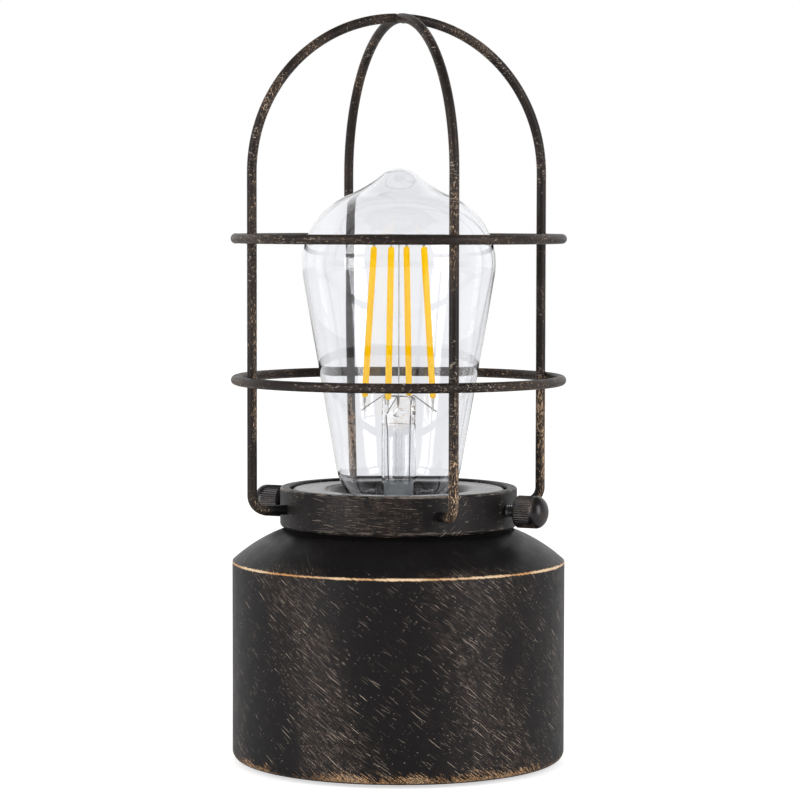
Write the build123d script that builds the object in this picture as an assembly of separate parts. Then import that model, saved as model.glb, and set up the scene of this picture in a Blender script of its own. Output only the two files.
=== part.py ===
from build123d import *
import os
from math import atan2, cos, degrees, radians, sin, tan

# A touch lamp: a painted metal drum carries a filament bulb, and a wire cage stands over the bulb
# on a collar that two thumb screws hold. Millimetres, +Z up, floor at Z = 0, thumb screws along X,
# cord entry at +Y.

# Base shell
base_radius = 55.0
shell_wall = 1.2
rim_lift = 1.0
rim_bend = 3.0
rim_hem = 1.0
wall_height = 65.8
edge_fillet = 0.6
shoulder_rise = 10.4
shoulder_bulge = 1.0
seat_step = 0.8
seat_lap = 1.6

# Collar and the lid inside it
lift_clearance = 4.0
collar_wall = 3.2
collar_height = 13.2
collar_round = 0.8
collar_foot_round = 1.4
lid_gap = 1.0
lid_wall = 1.0
lid_round = 0.9
lid_drop = 0.6
lid_clearance = 0.1
skirt_lift = 0.6
well_lip = 3.7
well_roll = 4.0
well_depth = 8.7

# Wire cage
wire_radius = 1.6
foot_reach = 11.5
foot_bend = 5.0
leg_height = 110.0
weld_sink = 0.2
upper_ring_drop = 21.5
ring_spacing = 46.5
leg_angles = (45, 135, 225, 315)

# Thumb screws
stud_radius = 2.0
stud_clearance = 0.05
tip_clearance = 0.1
tip_chamfer = 0.5
shank_gap = 3.5
knob_radius = 5.3
knob_length = 6.6
knob_dome = 3.8
knurl_depth = 0.35
knurl_count = 40
knob_chamfer = 0.5
knob_fit = 0.03
stud_hold = 7.0

# Bottom plate, its screws and feet
plate_clearance = 0.4
plate_recess = 0.8
plate_wall = 1.2
dish_radius = 13.5
dish_run = 3.5
dish_rise = 5.5
lug_reach = 10.8
lug_width = 10.0
lug_thickness = 2.0
lug_height = 11.0
lug_angles = (0, 120, 240)
screw_radius = 1.5
screw_clearance = 0.2
screw_inset = 6.8
screw_stub = 1.5
screw_head_radius = 2.8
screw_head_height = 1.4
recess_width = 0.8
recess_depth = 0.7
foot_radius = 5.0
foot_chamfer = 0.4
foot_inset = 8.6

# Lamp pipe with its nuts and washers
pipe_radius = 5.0
pipe_wall = 1.1
thread_gap = 0.05
nut_across = 14.0
nut_height = 3.0
washer_radius = 9.0
washer_height = 1.0
washer_gap = 0.2
pipe_stub = 0.8

# Cord gland
gland_radius = 4.8
gland_bore = 3.3
gland_flange = 7.0
gland_flange_height = 2.0
gland_reach = 7.0
gland_height = 11.0
gland_gap = 0.15
gland_nut_radius = 7.2
gland_nut_height = 3.5

# Bulb cap and screw thread
cap_radius = 13.1
cap_wall = 0.4
cap_length = 26.7
cap_proud = 0.5
cap_skirt = 3.7
thread_depth = 0.7
thread_pitch = 3.63
thread_count = 5
thread_clearance = 0.25
insulator_radius = 10.6
insulator_height = 3.4
tip_radius = 4.6
tip_height = 1.0

# Lampholder
screw_shell_wall = 0.45
holder_gap = 0.05
holder_wall = 3.7
well_gap = 0.35
contact_rise = 4.0
contact_gap = 0.1
contact_width = 5.0
contact_sheet = 0.5
contact_top = 4.0
contact_reach = 10.0
contact_terminal = 7.0
holder_floor = 5.0
housing_height = 10.0
housing_wall = 2.2
housing_floor = 4.0
terminal_head_radius = 2.7
terminal_head_height = 2.2
tab_length = 5.0
tab_width = 6.0

# Bulb glass
bulb_radius = 32.0
crown_radius = 24.5
taper_angle = 9.85
blend_radius = 20.0
blend_angle = 50.0
neck_flare = 2.0
neck_rise = 3.0
neck_seat = 8.0
cement_gap = 0.1
nub_radius = 8.5
nub_angle = 39.0
nub_rise = 6.9
crown_angle = 68.0
glass_wall = 0.9

# Inside the bulb
stem_radius = 6.1
stem_wall = 1.0
stem_height = 28.0
stem_flare_height = 9.0
stem_seal = 4.0
seal_gap = 0.05
press_width = 11.6
press_depth = 4.2
press_height = 10.3
filament_radius = 1.05
filament_foot_rise = 37.5
filament_head_rise = 5.7
filament_foot_radius = 11.8
filament_head_radius = 8.6
filament_turn = 8.0
filament_count = 4
support_radius = 0.35
hub_rise = 3.4
elbow_drop = 4.0
elbow_reach = 1.1
driver_thickness = 1.6
driver_gap = 0.2
driver_depth = 18.0
driver_part_radius = 3.4
driver_part_height = 9.0
driver_part_offset = 4.2

# Touch dimmer and leads
case_length = 30.0
case_width = 19.0
case_height = 18.0
case_wall = 1.6
case_gap = 1.4
post_radius = 1.6
post_height = 3.0
board_thickness = 1.6
board_gap = 0.4
lead_radius = 1.0
lead_spread = 1.5
lead_inset = 5.0
lead_rise = 5.0
lead_bend = 3.0
lead_gap = 0.1
slot_gap = 0.8
capacitor_radius = 3.6
capacitor_height = 8.0
triac_length = 7.0
triac_width = 4.4
triac_height = 7.5
chip_length = 6.0
chip_width = 5.0
chip_height = 1.6
part_inset = 5.2
terminal_sheet = 0.8
terminal_radius = 8.2
terminal_reach = 11.5
terminal_width = 4.0
terminal_rise = 8.0
barrel_radius = 1.5
barrel_length = 4.5
touch_bend = 6.0
touch_inset = 2.3

# One overrun serves all cuts
cut = 2.0

# Heights and radii that follow
rim_z = rim_lift
edge_z = rim_z + wall_height
shoulder_z = edge_z + shoulder_rise
seat_z = shoulder_z + seat_step
collar_top = seat_z + collar_height
lid_top = collar_top - lid_drop
screw_z = seat_z + collar_height / 2

collar_bore = bulb_radius + lift_clearance
collar_radius = collar_bore + collar_wall
seat_radius = collar_bore + seat_lap
lid_radius = collar_bore - lid_gap
neck_radius = lid_radius - lid_wall - lid_clearance
leg_radius = collar_radius + foot_reach
ring_radius = leg_radius + 2 * wire_radius - weld_sink
spring_z = screw_z + leg_height
upper_ring_z = spring_z - upper_ring_drop
lower_ring_z = upper_ring_z - ring_spacing
knob_inner = collar_radius + shank_gap

mouth_radius = base_radius - rim_bend - rim_hem
plate_under = rim_z + plate_recess
plate_top = plate_under + plate_wall
plate_radius = mouth_radius - plate_clearance
dish_under = plate_under + dish_rise
dish_top = dish_under + plate_wall
screw_circle = base_radius - shell_wall - screw_inset
foot_circle = plate_radius - foot_inset
gland_z = plate_top + gland_height

cap_core = cap_radius - thread_depth
thread_crest = cap_radius + thread_clearance
screw_shell_radius = thread_crest + thread_depth + screw_shell_wall
holder_bore = screw_shell_radius + holder_gap
holder_radius = holder_bore + holder_wall
well_hole = holder_radius + well_gap
well_radius = well_hole + well_lip

holder_top = collar_top - well_depth
cap_top = holder_top + cap_proud
thread_top = cap_top - cap_skirt
cap_bottom = thread_top - thread_count * thread_pitch
tip_z = cap_top - cap_length
floor_z = tip_z - contact_rise
holder_bottom = floor_z - holder_floor
housing_bottom = holder_bottom - housing_height
pipe_top = housing_bottom + housing_floor
pipe_bottom = dish_under - washer_height - nut_height - pipe_stub
shell_terminal = holder_bore - terminal_head_radius

glass_neck = cap_core - cap_wall - cement_gap
blend_r = glass_neck + neck_flare - blend_radius * cos(radians(blend_angle))
blend_z = cap_top + neck_rise + blend_radius * sin(radians(blend_angle))
crown_r = bulb_radius - crown_radius
taper_run = (crown_r + crown_radius * cos(radians(taper_angle))
             - blend_r - blend_radius * cos(radians(taper_angle)))
taper_drop = taper_run / tan(radians(taper_angle))
belly_z = blend_z + taper_drop + (crown_radius - blend_radius) * sin(radians(taper_angle))
bulb_top = belly_z + crown_radius + nub_rise
stem_top = cap_top + stem_height
press_top = stem_top + press_height
filament_foot_z = cap_top + filament_foot_rise
filament_head_z = belly_z + filament_head_rise
hub_z = filament_head_z + hub_rise

case_near = dish_radius + dish_run + plate_wall + case_gap
case_y = -case_near - case_width / 2
case_top = plate_top + case_height
lid_bottom = case_top - case_wall
board_z = plate_top + case_wall + post_height
board_top = board_z + board_thickness
lead_y = -case_near - lead_inset
lead_z = case_top + lead_rise
lead_top = holder_bottom - lead_radius - lead_gap
terminal_z = dish_top + washer_height
touch_x = terminal_reach - terminal_sheet / 2
touch_start = case_length / 2 - case_wall - touch_inset
barrel_z = terminal_z + terminal_rise

FROM_BELOW = (Align.CENTER, Align.CENTER, Align.MIN)


def drum(radius, bottom, top):
    """A round bar about Z."""
    return Pos(0, 0, bottom) * Cylinder(radius, top - bottom, align=FROM_BELOW)


def tube(outer, inner, bottom, top):
    """A round tube about Z."""
    return drum(outer, bottom, top) - drum(inner, bottom - cut, top + cut)


def brick(length, width, bottom, top):
    """A block about Z."""
    return Pos(0, 0, bottom) * Box(length, width, top - bottom, align=FROM_BELOW)


def turned(*edges):
    """A solid of revolution about Z, outlined as radius and height."""
    return revolve(Plane.XZ * make_face(Curve() + list(edges)), Axis.Z)


def run(*points):
    """Straight edges through the points of an outline."""
    return [Line(a, b) for a, b in zip(points, points[1:])]


def polar(centre, radius, angle):
    """The point at an angle in degrees round a centre."""
    return (centre[0] + radius * cos(radians(angle)), centre[1] + radius * sin(radians(angle)))


def arc(centre, radius, start, end):
    """A round edge between two angles in degrees."""
    middle = (start + end) / 2
    return ThreePointArc(*(polar(centre, radius, angle) for angle in (start, middle, end)))


def bowed(start, end, bulge):
    """A round edge between two points, bowed to the left of the way it runs."""
    across = (Vector(*end) - Vector(*start)).normalized()
    middle = (Vector(*start) + Vector(*end)) / 2 + Vector(-across.Y, across.X) * bulge
    return ThreePointArc(start, (middle.X, middle.Y), end)


def swept(path, radius):
    """A round wire along a path."""
    return sweep(Plane(path @ 0, z_dir=path % 0) * Circle(radius), path)


def rod(start, end, radius):
    """A straight round wire between two points."""
    return swept(Line(start, end), radius)


def upright(angle):
    """The vertical plane through Z at an angle in degrees, with its X axis outwards."""
    turn = radians(angle)
    return Plane((0, 0, 0), x_dir=(cos(turn), sin(turn), 0), z_dir=(sin(turn), -cos(turn), 0))


def around(shape, angles):
    """Copies of a shape at angles about Z, kept as separate solids."""
    return Compound(children=[Rot(0, 0, angle) * shape for angle in angles])


def along_x(radius, start, end, height):
    """A round bar along X."""
    return Pos(start, 0, height) * Rot(0, 90, 0) * Cylinder(radius, end - start, align=FROM_BELOW)


def along_y(radius, start, end, height):
    """A round bar along Y."""
    return Pos(0, start, height) * Rot(-90, 0, 0) * Cylinder(radius, end - start, align=FROM_BELOW)


def shell_cavity():
    """The room inside the base shell, from its mouth to the top of its neck."""
    inner = base_radius - shell_wall
    hem_top = rim_z + shell_wall
    bend = (base_radius - rim_bend, rim_z + rim_bend)
    edge_angle = degrees(atan2(base_radius - seat_radius, shoulder_rise))
    edge = (inner, edge_z - shell_wall * tan(radians(edge_angle / 2)))
    step = (seat_radius - shell_wall, shoulder_z - shell_wall * tan(radians(edge_angle / 2)))
    neck = neck_radius - shell_wall
    return turned(
        *run((0, rim_z - cut), (mouth_radius, rim_z - cut), (mouth_radius, hem_top), (bend[0], hem_top)),
        arc(bend, rim_bend - shell_wall, -90, 0),
        *run((inner, bend[1]), edge),
        bowed(step, edge, shoulder_bulge),
        *run(step, (step[0], seat_z - shell_wall), (neck, seat_z - shell_wall),
             (neck, collar_top), (0, collar_top), (0, rim_z - cut)),
    )


def base_shell():
    """Spun drum with a rolled rim, a domed shoulder, a flat seat and a neck."""
    bend = (base_radius - rim_bend, rim_z + rim_bend)
    neck_top = lid_top - lid_wall
    body = turned(
        *run((0, rim_z), (bend[0], rim_z)),
        arc(bend, rim_bend, -90, 0),
        *run((base_radius, bend[1]), (base_radius, edge_z)),
        bowed((seat_radius, shoulder_z), (base_radius, edge_z), shoulder_bulge),
        *run((seat_radius, shoulder_z), (seat_radius, seat_z), (neck_radius, seat_z),
             (neck_radius, neck_top), (0, neck_top), (0, rim_z)),
    )
    shoulder = [e for e in body.edges().filter_by(GeomType.CIRCLE)
                if abs(e.radius - base_radius) < edge_fillet and abs(e.center().Z - edge_z) < edge_fillet]
    body = fillet(shoulder, edge_fillet) - shell_cavity()
    return body - along_y(gland_radius + gland_gap, 0, base_radius + cut, gland_z)


def plate_lugs():
    """Angle lugs welded inside the wall, which the bottom plate screws to."""
    reach = base_radius - shell_wall - lug_reach
    block = Pos(reach, 0, 0) * Box(base_radius, lug_width, lug_height,
                                   align=(Align.MIN, Align.CENTER, Align.MIN))
    room = Pos(reach, 0, lug_thickness) * Box(2 * (lug_reach - lug_thickness), lug_width + cut, lug_height)
    room = Pos(0, 0, lug_height / 2) * room
    hole = Pos(screw_circle, 0, 0) * drum(screw_radius + thread_gap, -cut, lug_thickness + cut)
    lug = Pos(0, 0, plate_top) * (block - room - hole)
    cavity = shell_cavity()
    return Compound(children=[(Rot(0, 0, angle) * lug) & cavity for angle in lug_angles])


def bottom_plate():
    """Steel plate with a raised middle that leaves room for the lower nut."""
    slope = atan2(dish_rise, dish_run)
    shift = plate_wall * tan(slope / 2)
    foot = dish_radius + dish_run
    hole = pipe_radius + washer_gap
    plate = turned(*run(
        (plate_radius, plate_under), (foot, plate_under), (dish_radius, dish_under), (hole, dish_under),
        (hole, dish_top), (dish_radius + shift, dish_top), (foot + shift, plate_top),
        (plate_radius, plate_top), (plate_radius, plate_under)))
    for angle in lug_angles:
        drill = Pos(screw_circle, 0, 0) * drum(screw_radius + screw_clearance, 0, plate_top + cut)
        plate -= Rot(0, 0, angle) * drill
    return plate


def bottom_screws():
    """Cross-head screws from below, through the plate into the lugs."""
    head_z = plate_under - screw_head_height
    screw = drum(screw_head_radius, head_z, plate_under)
    screw += drum(screw_radius, plate_under, plate_top + lug_thickness + screw_stub)
    for turn in (0, 90):
        slot = brick(2 * recess_width + screw_head_radius, recess_width, head_z - cut, head_z + recess_depth)
        screw -= Rot(0, 0, turn) * slot
    return around(Pos(screw_circle, 0, 0) * screw, lug_angles)


def rubber_feet():
    """Round pads stuck under the plate."""
    pad = drum(foot_radius, 0, plate_under)
    pad = chamfer(pad.edges().sort_by(Axis.Z)[0], foot_chamfer)
    return around(Pos(foot_circle, 0, 0) * pad, leg_angles)


def lamp_pipe():
    """Hollow threaded pipe from the plate to the lampholder, with a slot for the leads."""
    pipe = tube(pipe_radius, pipe_radius - pipe_wall, pipe_bottom, pipe_top)
    width = 2 * (lead_spread + lead_radius + slot_gap)
    half = lead_radius + slot_gap
    slot = Pos(0, -pipe_radius, 0) * brick(width, 2 * pipe_radius, lead_z - half, lead_z + half)
    return pipe - slot


def nut(bottom):
    """A thin hexagon nut on the pipe."""
    prism = Pos(0, 0, bottom) * extrude(RegularPolygon(nut_across / 2, 6, major_radius=False), nut_height)
    return prism - drum(pipe_radius + thread_gap, bottom - cut, bottom + nut_height + cut)


def pipe_nuts():
    """One nut under the plate and one on the touch terminal."""
    return Compound(children=[nut(dish_under - washer_height - nut_height), nut(terminal_z + terminal_sheet)])


def pipe_washers():
    """Flat washers on both sides of the plate."""
    bottoms = (dish_under - washer_height, dish_top)
    return Compound(children=[tube(washer_radius, pipe_radius + washer_gap, z, z + washer_height)
                              for z in bottoms])


def cord_gland():
    """Flanged bushing through the rear wall; the flange is shaped to the drum."""
    outer = base_radius + gland_flange_height
    inner = base_radius - shell_wall - gland_reach
    flange = along_y(gland_flange, base_radius - shell_wall, outer, gland_z)
    flange -= drum(base_radius, 0, edge_z)
    body = along_y(gland_radius, inner, outer, gland_z)
    return flange + body - along_y(gland_bore, inner - cut, outer + cut, gland_z)


def gland_nut():
    """Ring nut that draws the gland against the inside of the wall."""
    inner = base_radius - shell_wall
    ring = along_y(gland_nut_radius, inner - gland_nut_height, inner + cut, gland_z)
    ring &= drum(inner, 0, edge_z)
    return ring - along_y(gland_radius + thread_gap, 0, base_radius, gland_z)


def top_plate():
    """Lid on the neck: a skirt for the thumb screws, a flat top and a rolled well round the bulb."""
    skirt_z = seat_z + skirt_lift
    inner = lid_radius - lid_wall
    under = lid_top - lid_wall
    roll = (well_radius + well_roll, lid_top - well_roll)
    brim = (lid_radius - lid_round, lid_top - lid_round)
    well_wall = well_radius + lid_wall
    floor_under = holder_top - lid_wall
    return turned(
        *run((inner, skirt_z), (lid_radius, skirt_z), (lid_radius, brim[1])),
        arc(brim, lid_round, 0, 90),
        *run((brim[0], lid_top), (roll[0], lid_top)),
        arc(roll, well_roll, 90, 180),
        *run((well_radius, roll[1]), (well_radius, holder_top), (well_hole, holder_top),
             (well_hole, floor_under), (well_wall, floor_under), (well_wall, roll[1])),
        arc(roll, well_roll - lid_wall, 180, 90),
        *run((roll[0], under), (inner, under), (inner, skirt_z)),
    )


def lampholder_body():
    """Moulded cup that holds the screw shell, with a floor for the terminals."""
    body = drum(holder_radius, holder_bottom, holder_top) - drum(holder_bore, floor_z, holder_top + cut)
    for x in (-contact_terminal, shell_terminal):
        body -= Pos(x, 0, 0) * drum(screw_radius + thread_gap, holder_bottom - cut, floor_z + cut)
    return body


def lampholder_housing():
    """Lower housing that screws on the pipe and covers the terminals."""
    housing = drum(holder_radius, housing_bottom, holder_bottom)
    housing -= drum(holder_radius - housing_wall, pipe_top, holder_bottom + cut)
    return housing - drum(pipe_radius + thread_gap, housing_bottom - cut, pipe_top + cut)


def thread_waves(radius, depth):
    """Rounded thread rings down an outline, as deep as given outwards of a radius."""
    tops = [thread_top - i * thread_pitch for i in range(thread_count)]
    return [ThreePointArc((radius, z), (radius + depth, z - thread_pitch / 2), (radius, z - thread_pitch))
            for z in tops]


def screw_shell():
    """Threaded brass sleeve in the lampholder, with a tab for its terminal."""
    sleeve = turned(
        *run((thread_crest, holder_top), (thread_crest, thread_top)),
        *thread_waves(thread_crest, thread_depth),
        *run((thread_crest, cap_bottom), (thread_crest, floor_z), (screw_shell_radius, floor_z),
             (screw_shell_radius, holder_top), (thread_crest, holder_top)),
    )
    tab = Pos(thread_crest - tab_length, 0, floor_z) * Box(
        tab_length + screw_shell_wall, tab_width, screw_shell_wall,
        align=(Align.MIN, Align.CENTER, Align.MIN))
    hole = Pos(shell_terminal, 0, 0) * drum(screw_radius + thread_gap, floor_z - cut, floor_z + cut)
    return sleeve + tab - hole


def centre_contact():
    """Brass tongue from its terminal up to the tip of the bulb."""
    top = tip_z - contact_gap
    sheet = contact_sheet
    rise = (contact_terminal + screw_radius + sheet, contact_top / 2)
    side = make_face(Polyline(
        (-contact_reach, floor_z), (-rise[0] + 2 * screw_radius, floor_z), (-rise[1], top - sheet),
        (rise[1], top - sheet), (rise[1], top), (-rise[1] - sheet / 2, top),
        (-rise[0] + 2 * screw_radius - sheet / 2, floor_z + sheet), (-contact_reach, floor_z + sheet),
        close=True))
    strip = extrude(Plane.XZ * side, contact_width / 2, both=True)
    hole = Pos(-contact_terminal, 0, 0) * drum(screw_radius + thread_gap, floor_z - cut, floor_z + 2 * sheet)
    return strip - hole


def terminal_screws():
    """Brass screws up through the floor into the contact and the shell's tab."""
    head = drum(terminal_head_radius, holder_bottom - terminal_head_height, holder_bottom)
    slot_z = holder_bottom - terminal_head_height
    head -= brick(2 * terminal_head_radius + cut, recess_width, slot_z - cut, slot_z + recess_depth)
    screw = head + drum(screw_radius, holder_bottom, floor_z + contact_sheet)
    return Compound(children=[Pos(x, 0, 0) * screw for x in (-contact_terminal, shell_terminal)])


def in_case(shape):
    """A dimmer piece moved to where the case stands."""
    return Pos(0, case_y, 0) * shape


def dimmer_case():
    """Open box on the bottom plate, with posts for the board."""
    room = (case_length - 2 * case_wall, case_width - 2 * case_wall)
    box = brick(case_length, case_width, plate_top, lid_bottom)
    box -= brick(*room, plate_top + case_wall, case_top)
    inset = board_gap + post_radius
    for x in (-1, 1):
        for y in (-1, 1):
            post = Pos(x * (room[0] / 2 - inset), y * (room[1] / 2 - inset), 0)
            box += post * drum(post_radius, plate_top + case_wall, board_z)
    return in_case(box)


def dimmer_lid():
    """Lid with holes for the three leads."""
    lid = in_case(brick(case_length, case_width, lid_bottom, case_top))
    for x in (-lead_spread, lead_spread, touch_start):
        lid -= Pos(x, lead_y, 0) * drum(lead_radius + lead_gap, lid_bottom - cut, case_top + cut)
    return lid


def dimmer_board():
    """Circuit board on the posts."""
    length = case_length - 2 * case_wall - 2 * board_gap
    width = case_width - 2 * case_wall - 2 * board_gap
    return in_case(brick(length, width, board_z, board_top))


def dimmer_components():
    """Capacitor, triac and touch chip on the board."""
    inset = case_wall + part_inset
    far = -case_width / 2 + inset
    capacitor = Pos(-case_length / 2 + inset, far, 0) * drum(
        capacitor_radius, board_top, board_top + capacitor_height)
    triac = Pos(case_length / 2 - inset, far, 0) * brick(
        triac_length, triac_width, board_top, board_top + triac_height)
    chip = Pos(0, far, 0) * brick(chip_length, chip_width, board_top, board_top + chip_height)
    return Compound(children=[in_case(piece) for piece in (capacitor, triac, chip)])


def supply_lead(side, terminal):
    """Insulated lead from the board, through the pipe's slot and bore, to a terminal screw."""
    x = side * lead_spread
    end = side * (terminal - terminal_head_radius - lead_gap)
    path = FilletPolyline(
        (x, lead_y, board_top), (x, lead_y, lead_z), (x, 0, lead_z), (x, 0, lead_top), (end, 0, lead_top),
        radius=[lead_bend, lead_bend, 2 * lead_radius])
    return swept(path, lead_radius)


def live_lead():
    """Lead to the centre contact."""
    return supply_lead(-1, contact_terminal)


def neutral_lead():
    """Lead to the screw shell."""
    return supply_lead(1, shell_terminal)


def touch_terminal():
    """Ring terminal under the upper nut, with its tab turned up to a crimp barrel."""
    ring = drum(terminal_radius, terminal_z, terminal_z + terminal_sheet)
    flat = Pos(terminal_reach / 2, 0, 0) * brick(
        terminal_reach, terminal_width, terminal_z, terminal_z + terminal_sheet)
    tab = Pos(touch_x, 0, 0) * brick(terminal_sheet, terminal_width, terminal_z, barrel_z)
    barrel = Pos(touch_x, 0, 0) * drum(barrel_radius, barrel_z, barrel_z + barrel_length)
    hole = drum(pipe_radius + washer_gap, terminal_z - cut, terminal_z + cut)
    return ring + flat + tab + barrel - hole


def touch_lead():
    """Sensing lead from the board to the ring terminal, which makes the metal body touch sensitive."""
    path = FilletPolyline(
        (touch_start, lead_y, board_top), (touch_start, lead_y, lead_z + touch_bend),
        (touch_x, 0, lead_z + touch_bend), (touch_x, 0, barrel_z + barrel_length), radius=touch_bend)
    return swept(path, lead_radius)


def collar_ring():
    """Heavy ring that stands on the seat and carries the cage and the thumb screws."""
    foot = (collar_radius - collar_foot_round, seat_z + collar_foot_round)
    brim = (collar_radius - collar_round, collar_top - collar_round)
    lip = (collar_bore + collar_round, brim[1])
    heel = (lip[0], seat_z + collar_round)
    ring = turned(
        *run((heel[0], seat_z), (foot[0], seat_z)),
        arc(foot, collar_foot_round, 270, 360),
        *run((collar_radius, foot[1]), (collar_radius, brim[1])),
        arc(brim, collar_round, 0, 90),
        *run((brim[0], collar_top), (lip[0], collar_top)),
        arc(lip, collar_round, 90, 180),
        *run((collar_bore, lip[1]), (collar_bore, heel[1])),
        arc(heel, collar_round, 180, 270),
    )
    hole = along_x(stud_radius + stud_clearance, -collar_radius - cut, collar_radius + cut, screw_z)
    return ring - hole


def leg_edges(side):
    """Foot, bend and leg of a hoop from the collar up to the spring line, on one side of Z."""
    bend = (leg_radius - foot_bend, screw_z + foot_bend)
    start = (collar_radius - collar_wall / 2, screw_z)
    edges = run(start, (bend[0], screw_z))
    edges.append(arc(bend, foot_bend, -90, 0))
    edges += run((leg_radius, bend[1]), (leg_radius, spring_z))
    if side > 0:
        return edges
    return [edge.mirror(Plane.YZ) for edge in edges]


def trimmed_wire(edges, angle):
    """A cage wire in the upright plane at an angle, trimmed to the face of the collar."""
    return swept(upright(angle) * Wire(edges), wire_radius) - drum(collar_radius, seat_z, collar_top)


def cage_hoop():
    """The whole hoop: two legs and the dome between them, in one wire."""
    dome = arc((0, spring_z), leg_radius, 0, 180)
    return trimmed_wire(leg_edges(1) + [dome] + leg_edges(-1), leg_angles[3])


def half_hoop(angle):
    """A leg and half a dome, welded to the whole hoop at the top."""
    stop = degrees(wire_radius / 2 / leg_radius)
    dome = arc((0, spring_z), leg_radius, 0, 90 - stop)
    return trimmed_wire(leg_edges(1) + [dome], angle) - cage_hoop()


def cage_half_hoop_right():
    """Half hoop on the right of the rear."""
    return half_hoop(leg_angles[0])


def cage_half_hoop_left():
    """Half hoop on the left of the front."""
    return half_hoop(leg_angles[2])


def cage_ring(height):
    """A ring round the outside of the legs, sunk a little into each of them by its weld."""
    post = Pos(leg_radius, 0, 0) * drum(wire_radius, height - 2 * wire_radius, height + 2 * wire_radius)
    return Pos(0, 0, height) * Torus(ring_radius, wire_radius) - around(post, leg_angles).solids()


def cage_upper_ring():
    """Upper ring of the cage."""
    return cage_ring(upper_ring_z)


def cage_lower_ring():
    """Lower ring of the cage."""
    return cage_ring(lower_ring_z)


def stud():
    """Threaded shank along +X, with its point at the lid's skirt."""
    start = lid_radius + tip_clearance
    shank = along_x(stud_radius, start, knob_inner + stud_hold, screw_z)
    return chamfer(shank.edges().sort_by(Axis.X)[0], tip_chamfer)


def knob():
    """Knurled head along +X with a round end, bored for the shank."""
    ridges = []
    for i in range(2 * knurl_count):
        radius = knob_radius - knurl_depth * (i % 2)
        ridges.append(polar((0, 0), radius, 180 * i / knurl_count))
    grip = extrude(make_face(Polyline(*ridges, close=True)), knob_length)
    rim = knob_radius - knob_chamfer
    grip &= turned(*run(
        (0, 0), (rim, 0), (knob_radius, knob_chamfer), (knob_radius, knob_length - knob_chamfer),
        (rim, knob_length), (0, knob_length), (0, 0)))
    dome = turned(*run((0, knob_length + knob_dome), (0, knob_length), (rim, knob_length)),
                  EllipticalCenterArc((0, knob_length), rim, knob_dome, start_angle=0, arc_size=90))
    head = grip + dome
    head -= drum(stud_radius + knob_fit, -cut, stud_hold + knob_fit)
    return Pos(knob_inner, 0, screw_z) * Rot(0, 90, 0) * head


def other_side(shape):
    """The same screw piece on the -X side."""
    return Rot(0, 0, 180) * shape


def glass_outline(inset):
    """Edges of the bulb from its tip to its neck, moved in by an inset."""
    nub = (0, bulb_top - nub_radius)
    crown = (crown_r, belly_z)
    blend = (blend_r, blend_z)
    shoulder = polar(crown, crown_radius - inset, crown_angle)
    nub_end = polar(nub, nub_radius - inset, 90 - nub_angle)
    inwards = (-sin(radians(crown_angle)), cos(radians(crown_angle)))
    blend_end = polar(blend, blend_radius - inset, -blend_angle)
    down = (-sin(radians(blend_angle)), -cos(radians(blend_angle)))
    neck = glass_neck - inset
    return [
        arc(nub, nub_radius - inset, 90, 90 - nub_angle),
        TangentArc(shoulder, nub_end, tangent=inwards),
        arc(crown, crown_radius - inset, crown_angle, -taper_angle),
        Line(
            polar(crown, crown_radius - inset, -taper_angle),
            polar(blend, blend_radius - inset, -taper_angle),
        ),
        arc(blend, blend_radius - inset, -taper_angle, -blend_angle),
        TangentArc(blend_end, (neck, cap_top), tangent=down),
        Line((neck, cap_top), (neck, cap_top - neck_seat)),
    ]


def bulb_glass():
    """Blown glass with a drawn tip, a wide crown and a long taper, open at the neck."""
    bottom = cap_top - neck_seat
    return turned(
        *glass_outline(0),
        *glass_outline(glass_wall),
        Line((glass_neck, bottom), (glass_neck - glass_wall, bottom)),
        Line((0, bulb_top), (0, bulb_top - glass_wall)),
    )


def bulb_stem():
    """Glass stem: a flare sealed in the neck, a tube and a flat press that holds the wires."""
    flare_r = glass_neck - glass_wall - seal_gap
    flare_z = cap_top - stem_seal
    tube_z = flare_z + stem_flare_height
    inner = stem_radius - stem_wall
    stem = turned(*run(
        (flare_r - stem_wall, flare_z), (flare_r, flare_z), (stem_radius, tube_z), (stem_radius, stem_top),
        (inner, stem_top), (inner, tube_z), (flare_r - stem_wall, flare_z)))
    press = brick(press_width, press_depth, stem_top - stem_wall, press_top) & drum(
        stem_radius, stem_top - stem_wall, press_top)
    return stem + press


def filament_ends(index):
    """Foot and head of one filament."""
    turn = radians(filament_turn + 360 * index / filament_count)
    foot = Vector(filament_foot_radius * cos(turn), filament_foot_radius * sin(turn), filament_foot_z)
    head = Vector(filament_head_radius * cos(turn), filament_head_radius * sin(turn), filament_head_z)
    return foot, head


def bulb_filaments():
    """Coated filament rods, leaning in towards the top."""
    rods = [rod(*filament_ends(i), filament_radius) for i in range(filament_count)]
    return Compound(children=rods)


def bulb_supports():
    """A post with arms to the filament heads, and a wire from the press to each filament foot."""
    hub = Vector(0, 0, hub_z)
    spider = rod((0, 0, press_top), hub, support_radius)
    pieces = []
    for i in range(filament_count):
        foot, head = filament_ends(i)
        out = Vector(foot.X, foot.Y, 0).normalized()
        elbow = foot + out * elbow_reach - Vector(0, 0, elbow_drop)
        root = Vector(0, 0, press_top - support_radius) + out * (press_depth / 2)
        spider += rod(hub - Vector(0, 0, support_radius), head, support_radius)
        wire = rod(root, elbow, support_radius)
        wire += rod(elbow - Vector(0, 0, support_radius), foot, support_radius)
        pieces.append(wire - brick(press_width, press_depth, stem_top, press_top))
    trim = bulb_filaments()
    return Compound(children=[piece - trim for piece in [spider] + pieces])


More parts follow.
